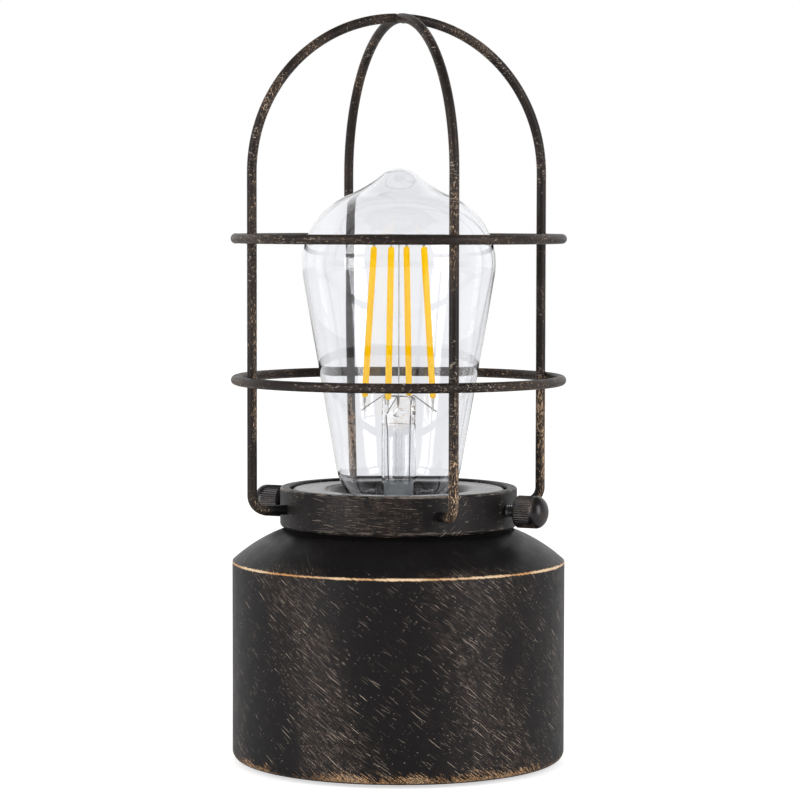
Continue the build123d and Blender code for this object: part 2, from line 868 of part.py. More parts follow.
def bulb_cap_shell():
    """Thin threaded cap cemented to the neck."""
    inner = cap_core - cap_wall
    return turned(
        *run((inner, cap_top), (cap_core, cap_top), (cap_core, thread_top)),
        *thread_waves(cap_core, thread_depth),
        *run((cap_core, cap_bottom), (inner, cap_bottom), (inner, cap_top)),
    )


def bulb_cap_insulator():
    """Glass-like insulator between the shell and the tip."""
    inner = cap_core - cap_wall - seal_gap
    bottom = tip_z + tip_height
    return turned(*run(
        (0, bottom), (tip_radius, bottom), (insulator_radius, bottom + insulator_height),
        (inner, cap_bottom), (inner, cap_bottom + insulator_height), (0, cap_bottom + insulator_height),
        (0, bottom)))


def bulb_driver():
    """Round driver board in the cap, with two parts on it."""
    bottom = cap_top - driver_depth
    top = bottom + driver_thickness
    board = drum(cap_core - cap_wall - driver_gap, bottom, top)
    for x in (-driver_part_offset, driver_part_offset):
        board += Pos(x, 0, 0) * drum(driver_part_radius, top, top + driver_part_height)
    return board


def bulb_tip_contact():
    """Domed solder contact at the bottom of the bulb."""
    flat = tip_radius / 2
    return turned(
        *run((0, tip_z), (flat, tip_z)),
        bowed((tip_radius, tip_z + tip_height), (flat, tip_z), tip_height / 4),
        *run((tip_radius, tip_z + tip_height), (0, tip_z + tip_height), (0, tip_z)),
    )


NODES = {
    "base_shell": base_shell,
    "plate_lugs": plate_lugs,
    "bottom_plate": bottom_plate,
    "bottom_screws": bottom_screws,
    "rubber_feet": rubber_feet,
    "lamp_pipe": lamp_pipe,
    "pipe_nuts": pipe_nuts,
    "pipe_washers": pipe_washers,
    "cord_gland": cord_gland,
    "gland_nut": gland_nut,
    "top_plate": top_plate,
    "lampholder_body": lampholder_body,
    "lampholder_housing": lampholder_housing,
    "screw_shell": screw_shell,
    "centre_contact": centre_contact,
    "terminal_screws": terminal_screws,
    "dimmer_case": dimmer_case,
    "dimmer_lid": dimmer_lid,
    "dimmer_board": dimmer_board,
    "dimmer_components": dimmer_components,
    "live_lead": live_lead,
    "neutral_lead": neutral_lead,
    "touch_lead": touch_lead,
    "touch_terminal": touch_terminal,
    "collar_ring": collar_ring,
    "cage_hoop": cage_hoop,
    "cage_half_hoop_right": cage_half_hoop_right,
    "cage_half_hoop_left": cage_half_hoop_left,
    "cage_upper_ring": cage_upper_ring,
    "cage_lower_ring": cage_lower_ring,
    "thumb_stud_right": stud,
    "thumb_stud_left": lambda: other_side(stud()),
    "thumb_knob_right": knob,
    "thumb_knob_left": lambda: other_side(knob()),
    "bulb_glass": bulb_glass,
    "bulb_stem": bulb_stem,
    "bulb_filaments": bulb_filaments,
    "bulb_supports": bulb_supports,
    "bulb_cap_shell": bulb_cap_shell,
    "bulb_cap_insulator": bulb_cap_insulator,
    "bulb_driver": bulb_driver,
    "bulb_tip_contact": bulb_tip_contact,
}

os.makedirs("parts", exist_ok=True)
for node, make in NODES.items():
    export_step(make(), f"parts/{node}.step")
print(f"cage top {spring_z + leg_radius + wire_radius:.1f}, bulb top {bulb_top:.1f}, tip {tip_z:.1f}")
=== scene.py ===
import math

import bmesh
import bpy
from bpy.props import FloatProperty, FloatVectorProperty, IntProperty, PointerProperty
from bpy.types import Operator, Panel, PropertyGroup
from mathutils import Matrix, Vector


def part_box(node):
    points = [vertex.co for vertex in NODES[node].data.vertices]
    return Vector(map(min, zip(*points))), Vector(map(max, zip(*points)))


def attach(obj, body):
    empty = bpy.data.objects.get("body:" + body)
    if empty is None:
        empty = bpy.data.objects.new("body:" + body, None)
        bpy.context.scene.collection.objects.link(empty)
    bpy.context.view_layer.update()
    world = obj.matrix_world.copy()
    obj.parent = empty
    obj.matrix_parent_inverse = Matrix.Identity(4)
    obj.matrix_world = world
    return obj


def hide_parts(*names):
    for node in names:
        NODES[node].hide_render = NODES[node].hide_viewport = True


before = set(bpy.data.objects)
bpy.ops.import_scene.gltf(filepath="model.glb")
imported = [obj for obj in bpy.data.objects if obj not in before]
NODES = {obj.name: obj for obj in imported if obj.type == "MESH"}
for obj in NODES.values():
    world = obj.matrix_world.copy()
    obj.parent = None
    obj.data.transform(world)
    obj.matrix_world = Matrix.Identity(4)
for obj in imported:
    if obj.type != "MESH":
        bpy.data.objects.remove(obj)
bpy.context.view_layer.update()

bl_info = {
    "name": "Touch lamp",
    "version": (1, 0, 0),
    "blender": (4, 5, 0),
    "location": "3D View > Sidebar > Touch lamp",
    "description": "Dresses a packed touch lamp with its finishes, bulb, welds and stage",
    "category": "Object",
}

AXIS_RADIUS = 1e-7
SHARP_ANGLE = math.radians(38)
UP = Vector((0, 0, 1))


def top_of(node):
    """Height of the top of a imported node."""
    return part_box(node)[1].z


def foot_of(node):
    """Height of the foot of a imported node."""
    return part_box(node)[0].z


def reach_of(node):
    """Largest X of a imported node."""
    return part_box(node)[1].x


def setting(kind=FloatProperty, **fixed):
    """A maker of properties of one kind from their name, description and default."""
    def made(name, description, default):
        return kind(name=name, description=description, default=default, **fixed)

    return made


length = setting(unit="LENGTH", precision=5)
turn = setting(unit="ROTATION")
share = setting(subtype="FACTOR", min=0.0, max=2.0)
amount = setting()
whole_number = setting(IntProperty, min=3)
colour = setting(FloatVectorProperty, subtype="COLOR", size=3, min=0.0, max=1.0)
location = setting(FloatVectorProperty, subtype="TRANSLATION", size=3)


class PaintFinish(PropertyGroup):
    """Dark bronze paint that was brushed and rubbed by hand."""
    black: colour("Black coat", "Top coat of the paint", (0.0068, 0.0062, 0.0065))
    brown: colour("Brown haze", "Where the top coat is rubbed thin", (0.066, 0.047, 0.036))
    tan: colour("Brush strokes", "Dry brush strokes on the top coat", (0.88, 0.72, 0.58))
    gold: colour("Worn edge", "Bronze at the rubbed edges", (0.60, 0.29, 0.10))
    pale: colour("Bright edge", "Polished metal where an edge is rubbed most", (0.84, 0.64, 0.42))
    grain: colour("Wire grain", "Bronze that shows on the cage wires", (0.66, 0.44, 0.27))
    # Painted shadow: near black laid on the seat band under the collar's overhang, where shade falls.
    soot: colour("Sooty corner", "Dark seam under the collar", (0.001, 0.001, 0.001))
    roughness: share("Roughness", "Satin sheen of the coat", 0.42)
    shine: share("Shine", "Reflection of the coat seen head on", 0.2)
    stroke_angle: turn("Stroke slope", "Fall of the strokes on the drum", math.radians(37))
    patch_angle: turn("Patch slope", "Fall of the bands of strokes", math.radians(74))
    stroke_length: length("Stroke length", "Room for the longest strokes", 0.015)
    stroke_width: length("Stroke width", "Width of a stroke", 0.0001)
    stroke_share: share("Stroke share", "How many strokes there are", 0.66)
    edge_height: length("Shoulder edge", "Height of the drum's worn shoulder edge", 0.0668)
    edge_inset: length("Edge inset", "How far inside a corner its worn line lies", 0.0003)
    tint: colour("Sheen tint", "Colour of what the coat reflects", (1.0, 0.95, 0.98))


class BulbSizes(PropertyGroup):
    """Blown bulb with a drawn tip and straight filaments."""
    radius: length("Radius", "Largest radius of the glass", reach_of("bulb_glass"))
    crown: length("Crown", "Radius of the round part at the top", 0.0245)
    taper: turn("Taper", "Lean of the sides", math.radians(9.85))
    blend: length("Lower round", "Radius of the round above the neck", 0.020)
    blend_angle: turn("Lower round angle", "Where the lower round ends", math.radians(50))
    neck: length("Neck", "Radius of the neck", 0.0119)
    neck_flare: length("Neck flare", "Widening above the neck", 0.002)
    neck_rise: length("Neck rise", "Height of the neck's flare", 0.003)
    nub: length("Tip", "Radius of the drawn tip", 0.0085)
    nub_angle: turn("Tip angle", "Where the drawn tip ends", math.radians(39))
    crown_angle: turn("Crown angle", "Where the crown ends", math.radians(68))
    wall: length("Glass wall", "Thickness of the glass", 0.0006)
    stem: length("Stem", "Radius of the glass stem", 0.0056)
    press_width: length("Press width", "Half width of the flat press", 0.0058)
    press_depth: length("Press depth", "Half depth of the flat press", 0.0021)
    exhaust: length("Exhaust hole", "Radius of the hole in the press", 0.0015)
    filament: length("Filament", "Radius of a coated filament", 0.00105)
    filament_turn: turn("Filament turn", "Angle of the first filament", math.radians(8))
    filament_foot: length("Filament feet", "Radius of the circle of the filaments' feet", 0.0118)
    filament_head: length("Filament heads", "Radius of the circle of the filaments' heads", 0.0086)
    support: length("Support wire", "Radius of a support wire", 0.00021)
    steps: whole_number("Steps", "Sides of the turned glass", 192)


class CageSizes(PropertyGroup):
    """Wires, welds and seams of the cage."""
    wire: length("Wire", "Radius of the cage wire", 0.0016)
    leg_circle: length("Leg circle", "Radius that the legs stand on", 0.0507)
    ring_circle: length("Ring circle", "Radius of the rings", 0.0537)
    foot_bend: length("Foot bend", "Radius of the bend above each foot", 0.005)
    foot_sink: length("Foot sink", "How far each foot goes into the collar", 0.0002)
    weld: length("Weld", "Half length of a weld bead", 0.0019)
    seam_angle: turn("Ring seam", "Where each ring is butted and welded", math.radians(209))


class StageSizes(PropertyGroup):
    """Floor, lights and camera."""
    distance: length("Camera distance", "From the lamp's axis", 1.01178)
    height: length("Camera height", "Above the floor", 0.180217)
    azimuth: turn("Camera azimuth", "Round the lamp from the front", math.radians(25))
    pitch: turn("Camera pitch", "Downward tilt", 0.05964)
    roll: turn("Camera roll", "Turn about the view", 0.00158)
    yaw: turn("Camera yaw", "Turn to the side", 0.00042)
    lens: amount("Lens", "Focal length in millimetres on a 36 mm sensor", 137.973)
    floor: length("Floor", "Half width of the floor", 3.0)
    floor_glow: share("Floor glow", "Light added to the floor for the camera", 0.6)
    glass_glow: share("Floor glow in glass", "Light added to the floor seen through glass", 0.42)
    fill: share("Fill light", "Strength of the world on matt surfaces", 0.55)
    shade: share("Dark side", "What the paint reflects from before and above the lamp", 0.1)
    glass_shade: share("Dark side in glass", "What the glass bends in from before the lamp", 0.35)
    key: amount("Key light", "Power of each large soft lamp in watts", 9.0)
    key_width: length("Key width", "Width of each soft lamp", 0.55)
    key_height: length("Key height", "Height of each soft lamp", 1.0)
    key_left: location("Left key", "Place of the left soft lamp", (-0.65, -1.126, 0.45))
    key_right: location("Right key", "Place of the right soft lamp", (1.28, -0.226, 0.45))
    aim: length("Aim", "Height on the lamp's axis that the soft lamps face", 0.1)
    pale: colour("Floor colour", "Plain pale floor", (0.86, 0.86, 0.86))


# Node helpers


class Value:
    """A value in a node tree; arithmetic with it adds nodes to the tree."""

    def __init__(self, tree, socket):
        self.tree = tree
        self.socket = socket

    def step(self, operation, *others):
        """One step of arithmetic that starts from this value."""
        return self.tree.step(operation, self, *others)

    def __add__(self, other):
        return self.step("ADD", other)

    def __sub__(self, other):
        return self.step("SUBTRACT", other)

    def __rsub__(self, other):
        return self.tree.step("SUBTRACT", other, self)

    def __mul__(self, other):
        return self.step("MULTIPLY", other)

    def __truediv__(self, other):
        return self.step("DIVIDE", other)

    def __rtruediv__(self, other):
        return self.tree.step("DIVIDE", other, self)

    def __abs__(self):
        return self.step("ABSOLUTE")

    def most(self, other):
        """The larger of two values."""
        return self.step("MAXIMUM", other)

    def ramp(self, low, high, start=0.0, end=1.0):
        """A soft step from start to end as the value goes from low to high."""
        return self.tree.put("ShaderNodeMapRange", {
            "Value": self, "From Min": low, "From Max": high, "To Min": start, "To Max": end},
            "Result", interpolation_type="SMOOTHSTEP")


def rgba(tint):
    """A plain colour with its alpha; a value from a node stays as it is."""
    return tint if isinstance(tint, Value) else (*tint, 1.0)


class Tree:
    """Adds nodes to a node tree and gives their outputs as values."""

    def __init__(self, base):
        self.base = base

    def feed(self, sockets, values):
        """Links or sets sockets by name or place."""
        for key, value in values.items():
            if isinstance(value, Value):
                self.base.links.new(value.socket, sockets[key])
            else:
                sockets[key].default_value = value

    def put(self, kind, inputs=None, output=0, **settings):
        """Adds a node and gives one output, the outputs that a tuple names, or all of them for ()."""
        made = self.base.nodes.new(kind)
        for key, value in settings.items():
            setattr(made, key, value)
        self.feed(made.inputs, inputs or {})
        if isinstance(output, tuple):
            return [Value(self, made.outputs[key]) for key in output or range(len(made.outputs))]
        return Value(self, made.outputs[output])

    def use(self, name, inputs):
        """Places a node group and gives its outputs in order."""
        return self.put("ShaderNodeGroup", inputs, (), node_tree=bpy.data.node_groups[name])

    def step(self, operation, *values):
        """One step of arithmetic."""
        return self.put("ShaderNodeMath", dict(enumerate(values)), operation=operation)

    def vector(self, operation, *values, output=0):
        """One step of arithmetic on vectors."""
        return self.put("ShaderNodeVectorMath", dict(enumerate(values)), output, operation=operation)

    def mixed(self, factor, low, high):
        """A colour between two others."""
        return self.put("ShaderNodeMix", {0: factor, 6: rgba(low), 7: rgba(high)}, 2, data_type="RGBA")

    def cloud(self, vector, scale, detail=2.0, roughness=0.5):
        """Soft noise between 0 and 1."""
        return self.put("ShaderNodeTexNoise", {
            "Vector": vector, "Scale": scale, "Detail": detail, "Roughness": roughness}, "Fac")

    def point(self, *parts):
        """A vector from its parts."""
        return self.put("ShaderNodeCombineXYZ", dict(enumerate(parts)))

    def parts(self, vector):
        """X, Y and Z of a vector."""
        return self.put("ShaderNodeSeparateXYZ", {0: vector}, ())

    def height(self, vector):
        """Z of a vector."""
        return self.parts(vector)[2]

    def span(self, *parts):
        """Length of the vector with these parts."""
        return self.vector("LENGTH", self.point(*parts), output="Value")

    def bearing(self, vector):
        """Angle about the lamp's axis, from the front."""
        x, y, _ = self.parts(vector)
        return x.step("ARCTAN2", y * -1.0)

    def axis_distance(self, vector):
        """Distance from the lamp's axis."""
        return self.span(*self.parts(vector)[:2])

    def ring_distance(self, vector, radius, height):
        """Distance from a ring about the lamp's axis."""
        return self.span(self.axis_distance(vector) - radius, self.height(vector) - height)


def node_group(name, inputs, outputs):
    """A shader node group: its tree, its inputs by name and its output sockets; Position is a vector."""
    base = bpy.data.node_groups.new(name, "ShaderNodeTree")
    for label, default in inputs.items():
        kind = "NodeSocketVector" if label == "Position" else "NodeSocketFloat"
        socket = base.interface.new_socket(label, in_out="INPUT", socket_type=kind)
        if default is not None:
            socket.default_value = default
    for label in outputs:
        base.interface.new_socket(label, in_out="OUTPUT", socket_type="NodeSocketFloat")
    tree = Tree(base)
    sockets = base.nodes.new("NodeGroupInput").outputs
    given = {label: Value(tree, sockets[label]) for label in inputs}
    return tree, given, base.nodes.new("NodeGroupOutput").inputs


def make_stroke_layer():
    """One layer of separate dry brush strokes, each with its own length, lean and strength."""
    tree, given, out = node_group("Stroke layer", {
        "Along": 0.0, "Across": 0.0, "Length": 0.012, "Gap": 0.001, "Width": 0.0003, "Share": 0.5,
        "Faint": 0.3, "Strong": 1.0, "Seed": 0.0}, ("Strokes",))
    most_lean, second_draw, contrast = 0.24, 7.31, 2.2
    thinnest, thicker, shortest, longer = 0.3, 0.35, 0.05, 0.21
    firm_side, firm_run = 0.4, 0.35
    place = tree.point(given["Along"] / given["Length"] + given["Seed"],
                       given["Across"] / given["Gap"] + given["Seed"])
    middle, draw = tree.put("ShaderNodeTexVoronoi", {"Vector": place, "Scale": 1.0, "Randomness": 1.0},
                            ("Position", "Color"), voronoi_dimensions="2D", feature="F1")
    along, across, _ = tree.parts(tree.vector("SUBTRACT", place, middle))
    chance, lean, strength = tree.put("ShaderNodeSeparateColor", {0: draw}, ())
    run = (lean * second_draw).step("FRACT")
    skew = (lean - 0.5) * most_lean * (along * given["Length"])
    off = abs(across * given["Gap"] + skew)
    half = given["Width"] * (strength * thicker + thinnest)
    body = off.ramp(half * firm_side, half, 1.0, 0.0)
    ends = (abs(along) / (run * longer + shortest)).ramp(firm_run, 1.0, 1.0, 0.0)
    there = chance.step("LESS_THAN", given["Share"])
    bright = strength.step("POWER", contrast) * (given["Strong"] - given["Faint"]) + given["Faint"]
    tree.feed(out, {"Strokes": body * ends * (there * bright)})


# Share of the length, gap, share of the width, share outside and inside bands, faintest, strongest, seed
STROKE_LAYERS = (
    (0.7, 0.00030, 0.8, 0.25, 1.3, 0.10, 0.42, 3.7),
    (0.9, 0.0007, 0.9, 0.12, 1.1, 0.16, 0.8, 11.3),
    (1.1, 0.0019, 1.0, 0.16, 0.7, 0.35, 1.0, 29.1),
    (0.4, 0.0011, 0.8, 0.14, 0.5, 0.12, 0.7, 47.9),
    (0.1, 0.0006, 1.1, 0.25, 0.75, 0.05, 0.7, 61.3),
)


def make_brushed_wear():
    """Brush strokes in slanting bands on a round wall, with the brown haze between them."""
    tree, given, out = node_group("Brushed wear", {
        "Position": None, "Radius": 0.055, "Slope": 0.85, "Patch Slope": 1.2, "Bands": 6.0, "Start": 0.0,
        "Length": 0.012, "Width": 0.0003, "Share": 0.5, "Patch Size": 0.02, "Seed": 0.0},
        ("Strokes", "Haze", "Hatch"))
    hatch_length, hatch_width, patch_stretch = 0.0042, 0.00034, (1.0, 1.0, 0.36)
    band_weight, haze_everywhere, haze_in_patches = 0.15, 0.08, 0.85
    position = given["Position"]
    z, angle = tree.height(position), tree.bearing(position)
    arc_length = angle * given["Radius"]
    fall, level = given["Slope"].step("SINE"), given["Slope"].step("COSINE")
    along = arc_length * level - z * fall
    across = arc_length * fall + z * level
    hatch = tree.cloud(tree.point(along / hatch_length, across / hatch_width), 1.0, 3.0, 0.6)
    twist = z / (given["Radius"] * given["Patch Slope"].step("TANGENT"))
    wound = tree.put("ShaderNodeVectorRotate", {"Vector": position, "Angle": twist},
                     rotation_type="Z_AXIS")
    broad = tree.put("ShaderNodeVectorMath", {
        0: tree.vector("MULTIPLY", wound, patch_stretch), 3: 1.0 / given["Patch Size"]}, operation="SCALE")
    seeded = tree.vector("ADD", broad, tree.point(0.0, 0.0, given["Seed"]))
    band = ((angle + twist - given["Start"]) * given["Bands"]).step("COSINE")
    patch = (band * band_weight + tree.cloud(seeded, 1.0, 3.0, 0.6)).ramp(0.36, 0.76)
    grain = tree.cloud(position, 520.0, 3.0, 0.6)
    rubbed = hatch.ramp(0.40, 0.66) * grain.ramp(0.30, 0.66, 0.25, 1.0)
    haze = (patch * haze_in_patches + haze_everywhere) * rubbed
    strokes = None
    for size, gap, width, outside, inside, faint, strong, seed in STROKE_LAYERS:
        wanted = given["Share"] * (patch * (inside - outside) + outside)
        layer, = tree.use("Stroke layer", {
            "Along": along, "Across": across, "Length": given["Length"] * size, "Gap": gap,
            "Width": given["Width"] * width, "Share": wanted, "Faint": faint, "Strong": strong,
            "Seed": given["Seed"] + seed})
        strokes = strokes.most(layer) if strokes else layer
    tree.feed(out, {"Strokes": strokes, "Haze": haze, "Hatch": hatch})


def make_edge_rub():
    """A rubbed edge: a band about a line, ragged where the brush crossed it."""
    tree, given, out = node_group("Edge rub", {
        "Position": None, "Hatch": 0.5, "Distance": 0.0, "Width": 0.001, "Ragged": 0.5, "Broad": 0.3},
        ("Rub", "Swell"))
    swell = tree.cloud(given["Position"], 42.0, 2.5)
    near = 1.0 - abs(given["Distance"]) / given["Width"]
    rough = (given["Hatch"] - 0.5) * given["Ragged"]
    wide = (swell - 0.5) * given["Broad"]
    tree.feed(out, {"Rub": (near + (rough + wide)).ramp(0.30, 0.72), "Swell": swell.ramp(0.38, 0.62)})


def make_flecks():
    """Small grains of bare bronze in loose patches."""
    tree, given, out = node_group("Bronze flecks", {
        "Position": None, "Size": 0.0006, "Share": 0.5, "Patch Size": 0.012}, ("Flecks", "Patches"))
    fine = tree.cloud(given["Position"], 1.0 / given["Size"], 3.0, 0.62)
    patch = tree.cloud(given["Position"], 1.0 / given["Patch Size"]).ramp(0.36, 0.66)
    level = patch * given["Share"] * -0.2 + 0.68
    tree.feed(out, {"Flecks": fine.ramp(level, level + 0.12), "Patches": patch})


def make_paint_skin():
    """The coat's own skin: fine unevenness for sheen and relief."""
    tree, given, out = node_group("Paint skin", {"Position": None, "Roughness": 0.42}, ("Sheen", "Relief"))
    peel = tree.cloud(given["Position"], 1500.0)
    dust = tree.cloud(given["Position"], 260.0, 4.0, 0.6)
    tree.feed(out, {"Sheen": given["Roughness"] + (dust - 0.5) * 0.22, "Relief": peel * 0.7 + dust * 0.3})


def make_plain_skin():
    """Grain for small plain pieces: a tint, a sheen and a relief that vary a little."""
    tree, given, out = node_group("Plain skin", {
        "Position": None, "Grain": 0.0008, "Roughness": 0.4, "Vary": 0.15}, ("Tint", "Sheen", "Relief"))
    fine = tree.cloud(given["Position"], 1.0 / given["Grain"], 3.0, 0.6)
    broad = tree.cloud(given["Position"], 0.08 / given["Grain"])
    both = fine * 0.4 + broad * 0.6
    sheen = given["Roughness"] + (both - 0.5) * given["Vary"]
    tree.feed(out, {"Tint": both.ramp(0.3, 0.7), "Sheen": sheen, "Relief": fine})


def make_turned_skin():
    """Rings left by turning or rolling, about the lamp's axis."""
    tree, given, out = node_group("Turned skin", {
        "Position": None, "Pitch": 0.0003, "Roughness": 0.3}, ("Tint", "Sheen", "Relief"))
    position = given["Position"]
    rings = tree.point(tree.axis_distance(position), 0.0, tree.height(position))
    lines = tree.cloud(rings, 1.0 / given["Pitch"], 3.0, 0.6)
    stains = tree.cloud(position, 120.0, 3.0)
    sheen = given["Roughness"] + (stains - 0.5) * 0.2
    tree.feed(out, {"Tint": lines * 0.4 + stains * 0.6, "Sheen": sheen, "Relief": lines})


def make_groups():
    """Builds each shared effect once."""
    if "Stroke layer" in bpy.data.node_groups:
        return
    for make in (make_stroke_layer, make_brushed_wear, make_edge_rub, make_flecks, make_paint_skin,
                 make_plain_skin, make_turned_skin):
        make()


def new_material(name):
    """An empty material: its tree, its shader's sockets and the position on the piece."""
    make_groups()
    material = bpy.data.materials.new(name)
    material.use_nodes = True
    tree = Tree(material.node_tree)
    shader = material.node_tree.nodes["Principled BSDF"].inputs
    return material, tree, shader, tree.put("ShaderNodeTexCoord", None, "Object")


def set_relief(tree, shader, height, distance):
    """Feeds a height to the shader's normal."""
    bump = tree.put("ShaderNodeBump", {"Height": height, "Distance": distance, "Strength": 1.0})
    tree.feed(shader, {"Normal": bump})


def edge_rub(tree, position, hatch, distance, width, ragged, broad):
    """A rubbed edge and the swell along it."""
    return tree.use("Edge rub", {"Position": position, "Hatch": hatch, "Distance": distance,
                                 "Width": width, "Ragged": ragged, "Broad": broad})


def bronze_flecks(tree, position, size, density, patch_size):
    """Grains of bronze and the patches they lie in."""
    return tree.use("Bronze flecks", {"Position": position, "Size": size, "Share": density,
                                      "Patch Size": patch_size})


def paint(name, finish, wear, roughness=None, shine=None, relief=0.00004, dull=None):
    """Dark bronze paint; wear gives haze, strokes, a worn mask and its colour, and the last argument gives
    a mask of painted shadow, laid near black and matt.
    """
    material, tree, shader, position = new_material(name)
    skin_relief, mark_relief = 0.35, 0.25
    haze, strokes, worn, worn_colour = wear(tree, position)
    sheen, height = tree.use("Paint skin", {
        "Position": position, "Roughness": roughness or finish.roughness})
    height = height * skin_relief
    coat = tree.mixed(haze, finish.black, finish.brown)
    for mask, tint in ((strokes, finish.tan), (worn, worn_colour)):
        if mask:
            coat = tree.mixed(mask, coat, tint)
            height = mask * mark_relief + height
    # Painted shadow: inside the mask's band the coat turns near black and fully rough.
    if dull:
        soot = dull(tree, position)
        coat = tree.mixed(soot, coat, finish.soot)
        sheen = sheen.most(soot)
    tree.feed(shader, {"Base Color": coat, "Roughness": sheen, "Specular IOR Level": shine or finish.shine,
                       "Specular Tint": rgba(finish.tint)})
    set_relief(tree, shader, height, relief)
    return material


def drum_paint(finish):
    """The drum: slanting strokes, a gold shoulder edge, a rubbed rim and a painted shadow on the seat under
    the collar.
    """
    low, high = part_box("base_shell")
    edge, fade, line_width, rim_width = finish.edge_height, 0.0034, 0.00058, 0.0025
    rim_top, rim_foot, rim_face = low.z + 0.0006, low.z + 0.0003, low.z + 0.001
    rim_tone, line_tone = 0.03, 0.04
    seat_low, seat_high = foot_of("collar_ring") - 0.0014, foot_of("collar_ring") - 0.0009

    def wear(tree, position):
        z = tree.height(position)
        strokes, haze, hatch = tree.use("Brushed wear", {
            "Position": position, "Radius": high.x, "Slope": finish.stroke_angle,
            "Patch Slope": finish.patch_angle, "Bands": 6.0, "Start": 0.12, "Length": finish.stroke_length,
            "Width": finish.stroke_width, "Share": finish.stroke_share, "Patch Size": 0.016, "Seed": 0.35})
        on_wall = z.ramp(edge, edge + fade, 1.0, 0.08)
        line, swell = edge_rub(tree, position, hatch, z - (edge - finish.edge_inset), line_width, 2.5, 1.2)
        rim, _ = edge_rub(tree, position, hatch, (z - rim_top).most(0.0), rim_width, 6.5, 6.0)
        grains = tree.cloud(position, 2300.0, 2.0, 0.6).ramp(0.40, 0.62, 0.12, 0.95)
        worn = line.most(rim * (grains * z.ramp(rim_foot, rim_face)))
        bright = swell * z.ramp(rim_tone, line_tone, 0.5, 0.85)
        return haze * on_wall, strokes * on_wall, worn, tree.mixed(bright, finish.gold, finish.pale)

    # Painted shadow: the seat band under the collar's overhang, where shade falls.
    def seat(tree, position):
        return tree.height(position).ramp(seat_low, seat_high)

    return paint("Bronze paint drum", finish, wear, dull=seat)


def collar_paint(finish):
    """The collar: level strokes, lightly rubbed edges and scratches beside one leg."""
    low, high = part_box("collar_ring")
    foot_inset, foot_rise, rub_width, diagonal = 0.0002, 0.0012, 0.0004, 0.71
    leg_left, leg_right = (0.74, 0.8), (0.95, 1.1)
    top_edge = (high.x - finish.edge_inset, high.z - finish.edge_inset)
    foot_edge = (high.x - foot_inset, low.z + foot_rise)

    def wear(tree, position):
        strokes, haze, hatch = tree.use("Brushed wear", {
            "Position": position, "Radius": high.x, "Slope": math.radians(3),
            "Patch Slope": math.radians(80), "Bands": 3.0, "Start": 0.52,
            "Length": finish.stroke_length * 0.8, "Width": finish.stroke_width * 0.75,
            "Share": finish.stroke_share, "Patch Size": 0.012, "Seed": 4.2})
        gaps = [tree.ring_distance(position, *edge) for edge in (top_edge, foot_edge)]
        at_top, at_foot = (edge_rub(tree, position, hatch, gap, rub_width, 6.0, 4.0)[0] for gap in gaps)
        z, angle = tree.height(position), tree.bearing(position)
        slant = angle * high.x + z
        beside_leg = angle.ramp(*leg_left) * angle.ramp(*leg_right, 1.0, 0.0)
        scratches, = tree.use("Stroke layer", {
            "Along": slant * diagonal, "Across": (slant - z * 2.0) * diagonal, "Length": 0.009,
            "Gap": 0.0009, "Width": finish.stroke_width, "Share": 0.8, "Faint": 0.1, "Strong": 1.0,
            "Seed": 12.4})
        strokes = (strokes * 0.7).most(scratches * beside_leg)
        return haze, strokes, (at_top * 0.2).most(at_foot * 0.1), finish.tan

    return paint("Bronze paint collar", finish, wear)


def lid_paint(finish):
    """The lid: a plain satin coat with a few marks round its edge."""
    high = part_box("top_plate")[1]

    def wear(tree, position):
        gap = tree.ring_distance(position, high.x - finish.edge_inset, high.z - finish.edge_inset)
        rub, _ = edge_rub(tree, position, tree.cloud(position, 1500.0), gap, 0.0005, 2.0, 2.4)
        flecks, patches = bronze_flecks(tree, position, 0.0010, 0.3, 0.02)
        return patches * 0.12, None, rub.most(flecks * 0.2) * 0.25, finish.tan

    return paint("Bronze paint lid", finish, wear, 0.24, 0.5, 0.000006)


def down_legs(tree, position):
    """The position, drawn out along the cage's legs."""
    return tree.vector("MULTIPLY", position, (1.0, 1.0, 0.3))


def round_rings(tree, position):
    """The position, drawn out along the cage's rings."""
    drawn_radius = 0.016
    around = tree.bearing(position) * drawn_radius
    return tree.point(around, tree.axis_distance(position), tree.height(position))


def wire_paint(name, finish, drawn_out, low_share, high_share):
    """The cage wires: bronze grains in patches, thickest on the lower legs; grains and haze are left off
    the feet, which stay near black as painted shade by the collar.
    """
    collar_high = top_of("collar_ring")
    low_leg, high_leg, foot_reach, leg_reach = 0.11, 0.16, 0.043, 0.048
    feet_low, feet_high = collar_high - 0.004, collar_high + 0.002

    def wear(tree, position):
        z = tree.height(position)
        density = z.ramp(low_leg, high_leg, low_share, high_share)
        flecks, patches = bronze_flecks(tree, drawn_out(tree, position), 0.00036, density, 0.012)
        slanted = tree.put("ShaderNodeMapping", {
            "Vector": position, "Rotation": (0.5, 0.4, 0.3), "Scale": (0.3, 1.0, 1.0)})
        streaks, _ = bronze_flecks(tree, slanted, 0.0006, 0.6, 0.02)
        # Painted shade: near the collar the feet lose their grains and haze and stay near black, where
        # shade falls.
        outside = tree.axis_distance(position).ramp(foot_reach, leg_reach)
        clear = outside.most(z.ramp(feet_low, feet_high))
        return (patches * 0.4 + 0.15) * clear, streaks * 0.4 * clear, flecks * 0.9 * clear, finish.grain

    return paint(name, finish, wear)


def knob_paint(finish):
    """The thumb screws' heads: rubbed on the tops of the ridges."""
    low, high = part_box("thumb_knob_right")
    middle, radius = (low.z + high.z) / 2, (high.z - low.z) / 2
    crest_low, crest_high = radius - 0.00014, radius - 0.00003

    def wear(tree, position):
        _, y, z = tree.parts(position)
        crest = tree.span(y, z - middle).ramp(crest_low, crest_high)
        flecks, patches = bronze_flecks(tree, position, 0.0005, 0.8, 0.006)
        rub = crest * (flecks * 0.22 + patches * 0.05)
        return patches * 0.25, rub, flecks * 0.06, finish.grain

    return paint("Bronze paint knob", finish, wear, 0.3, 0.5)


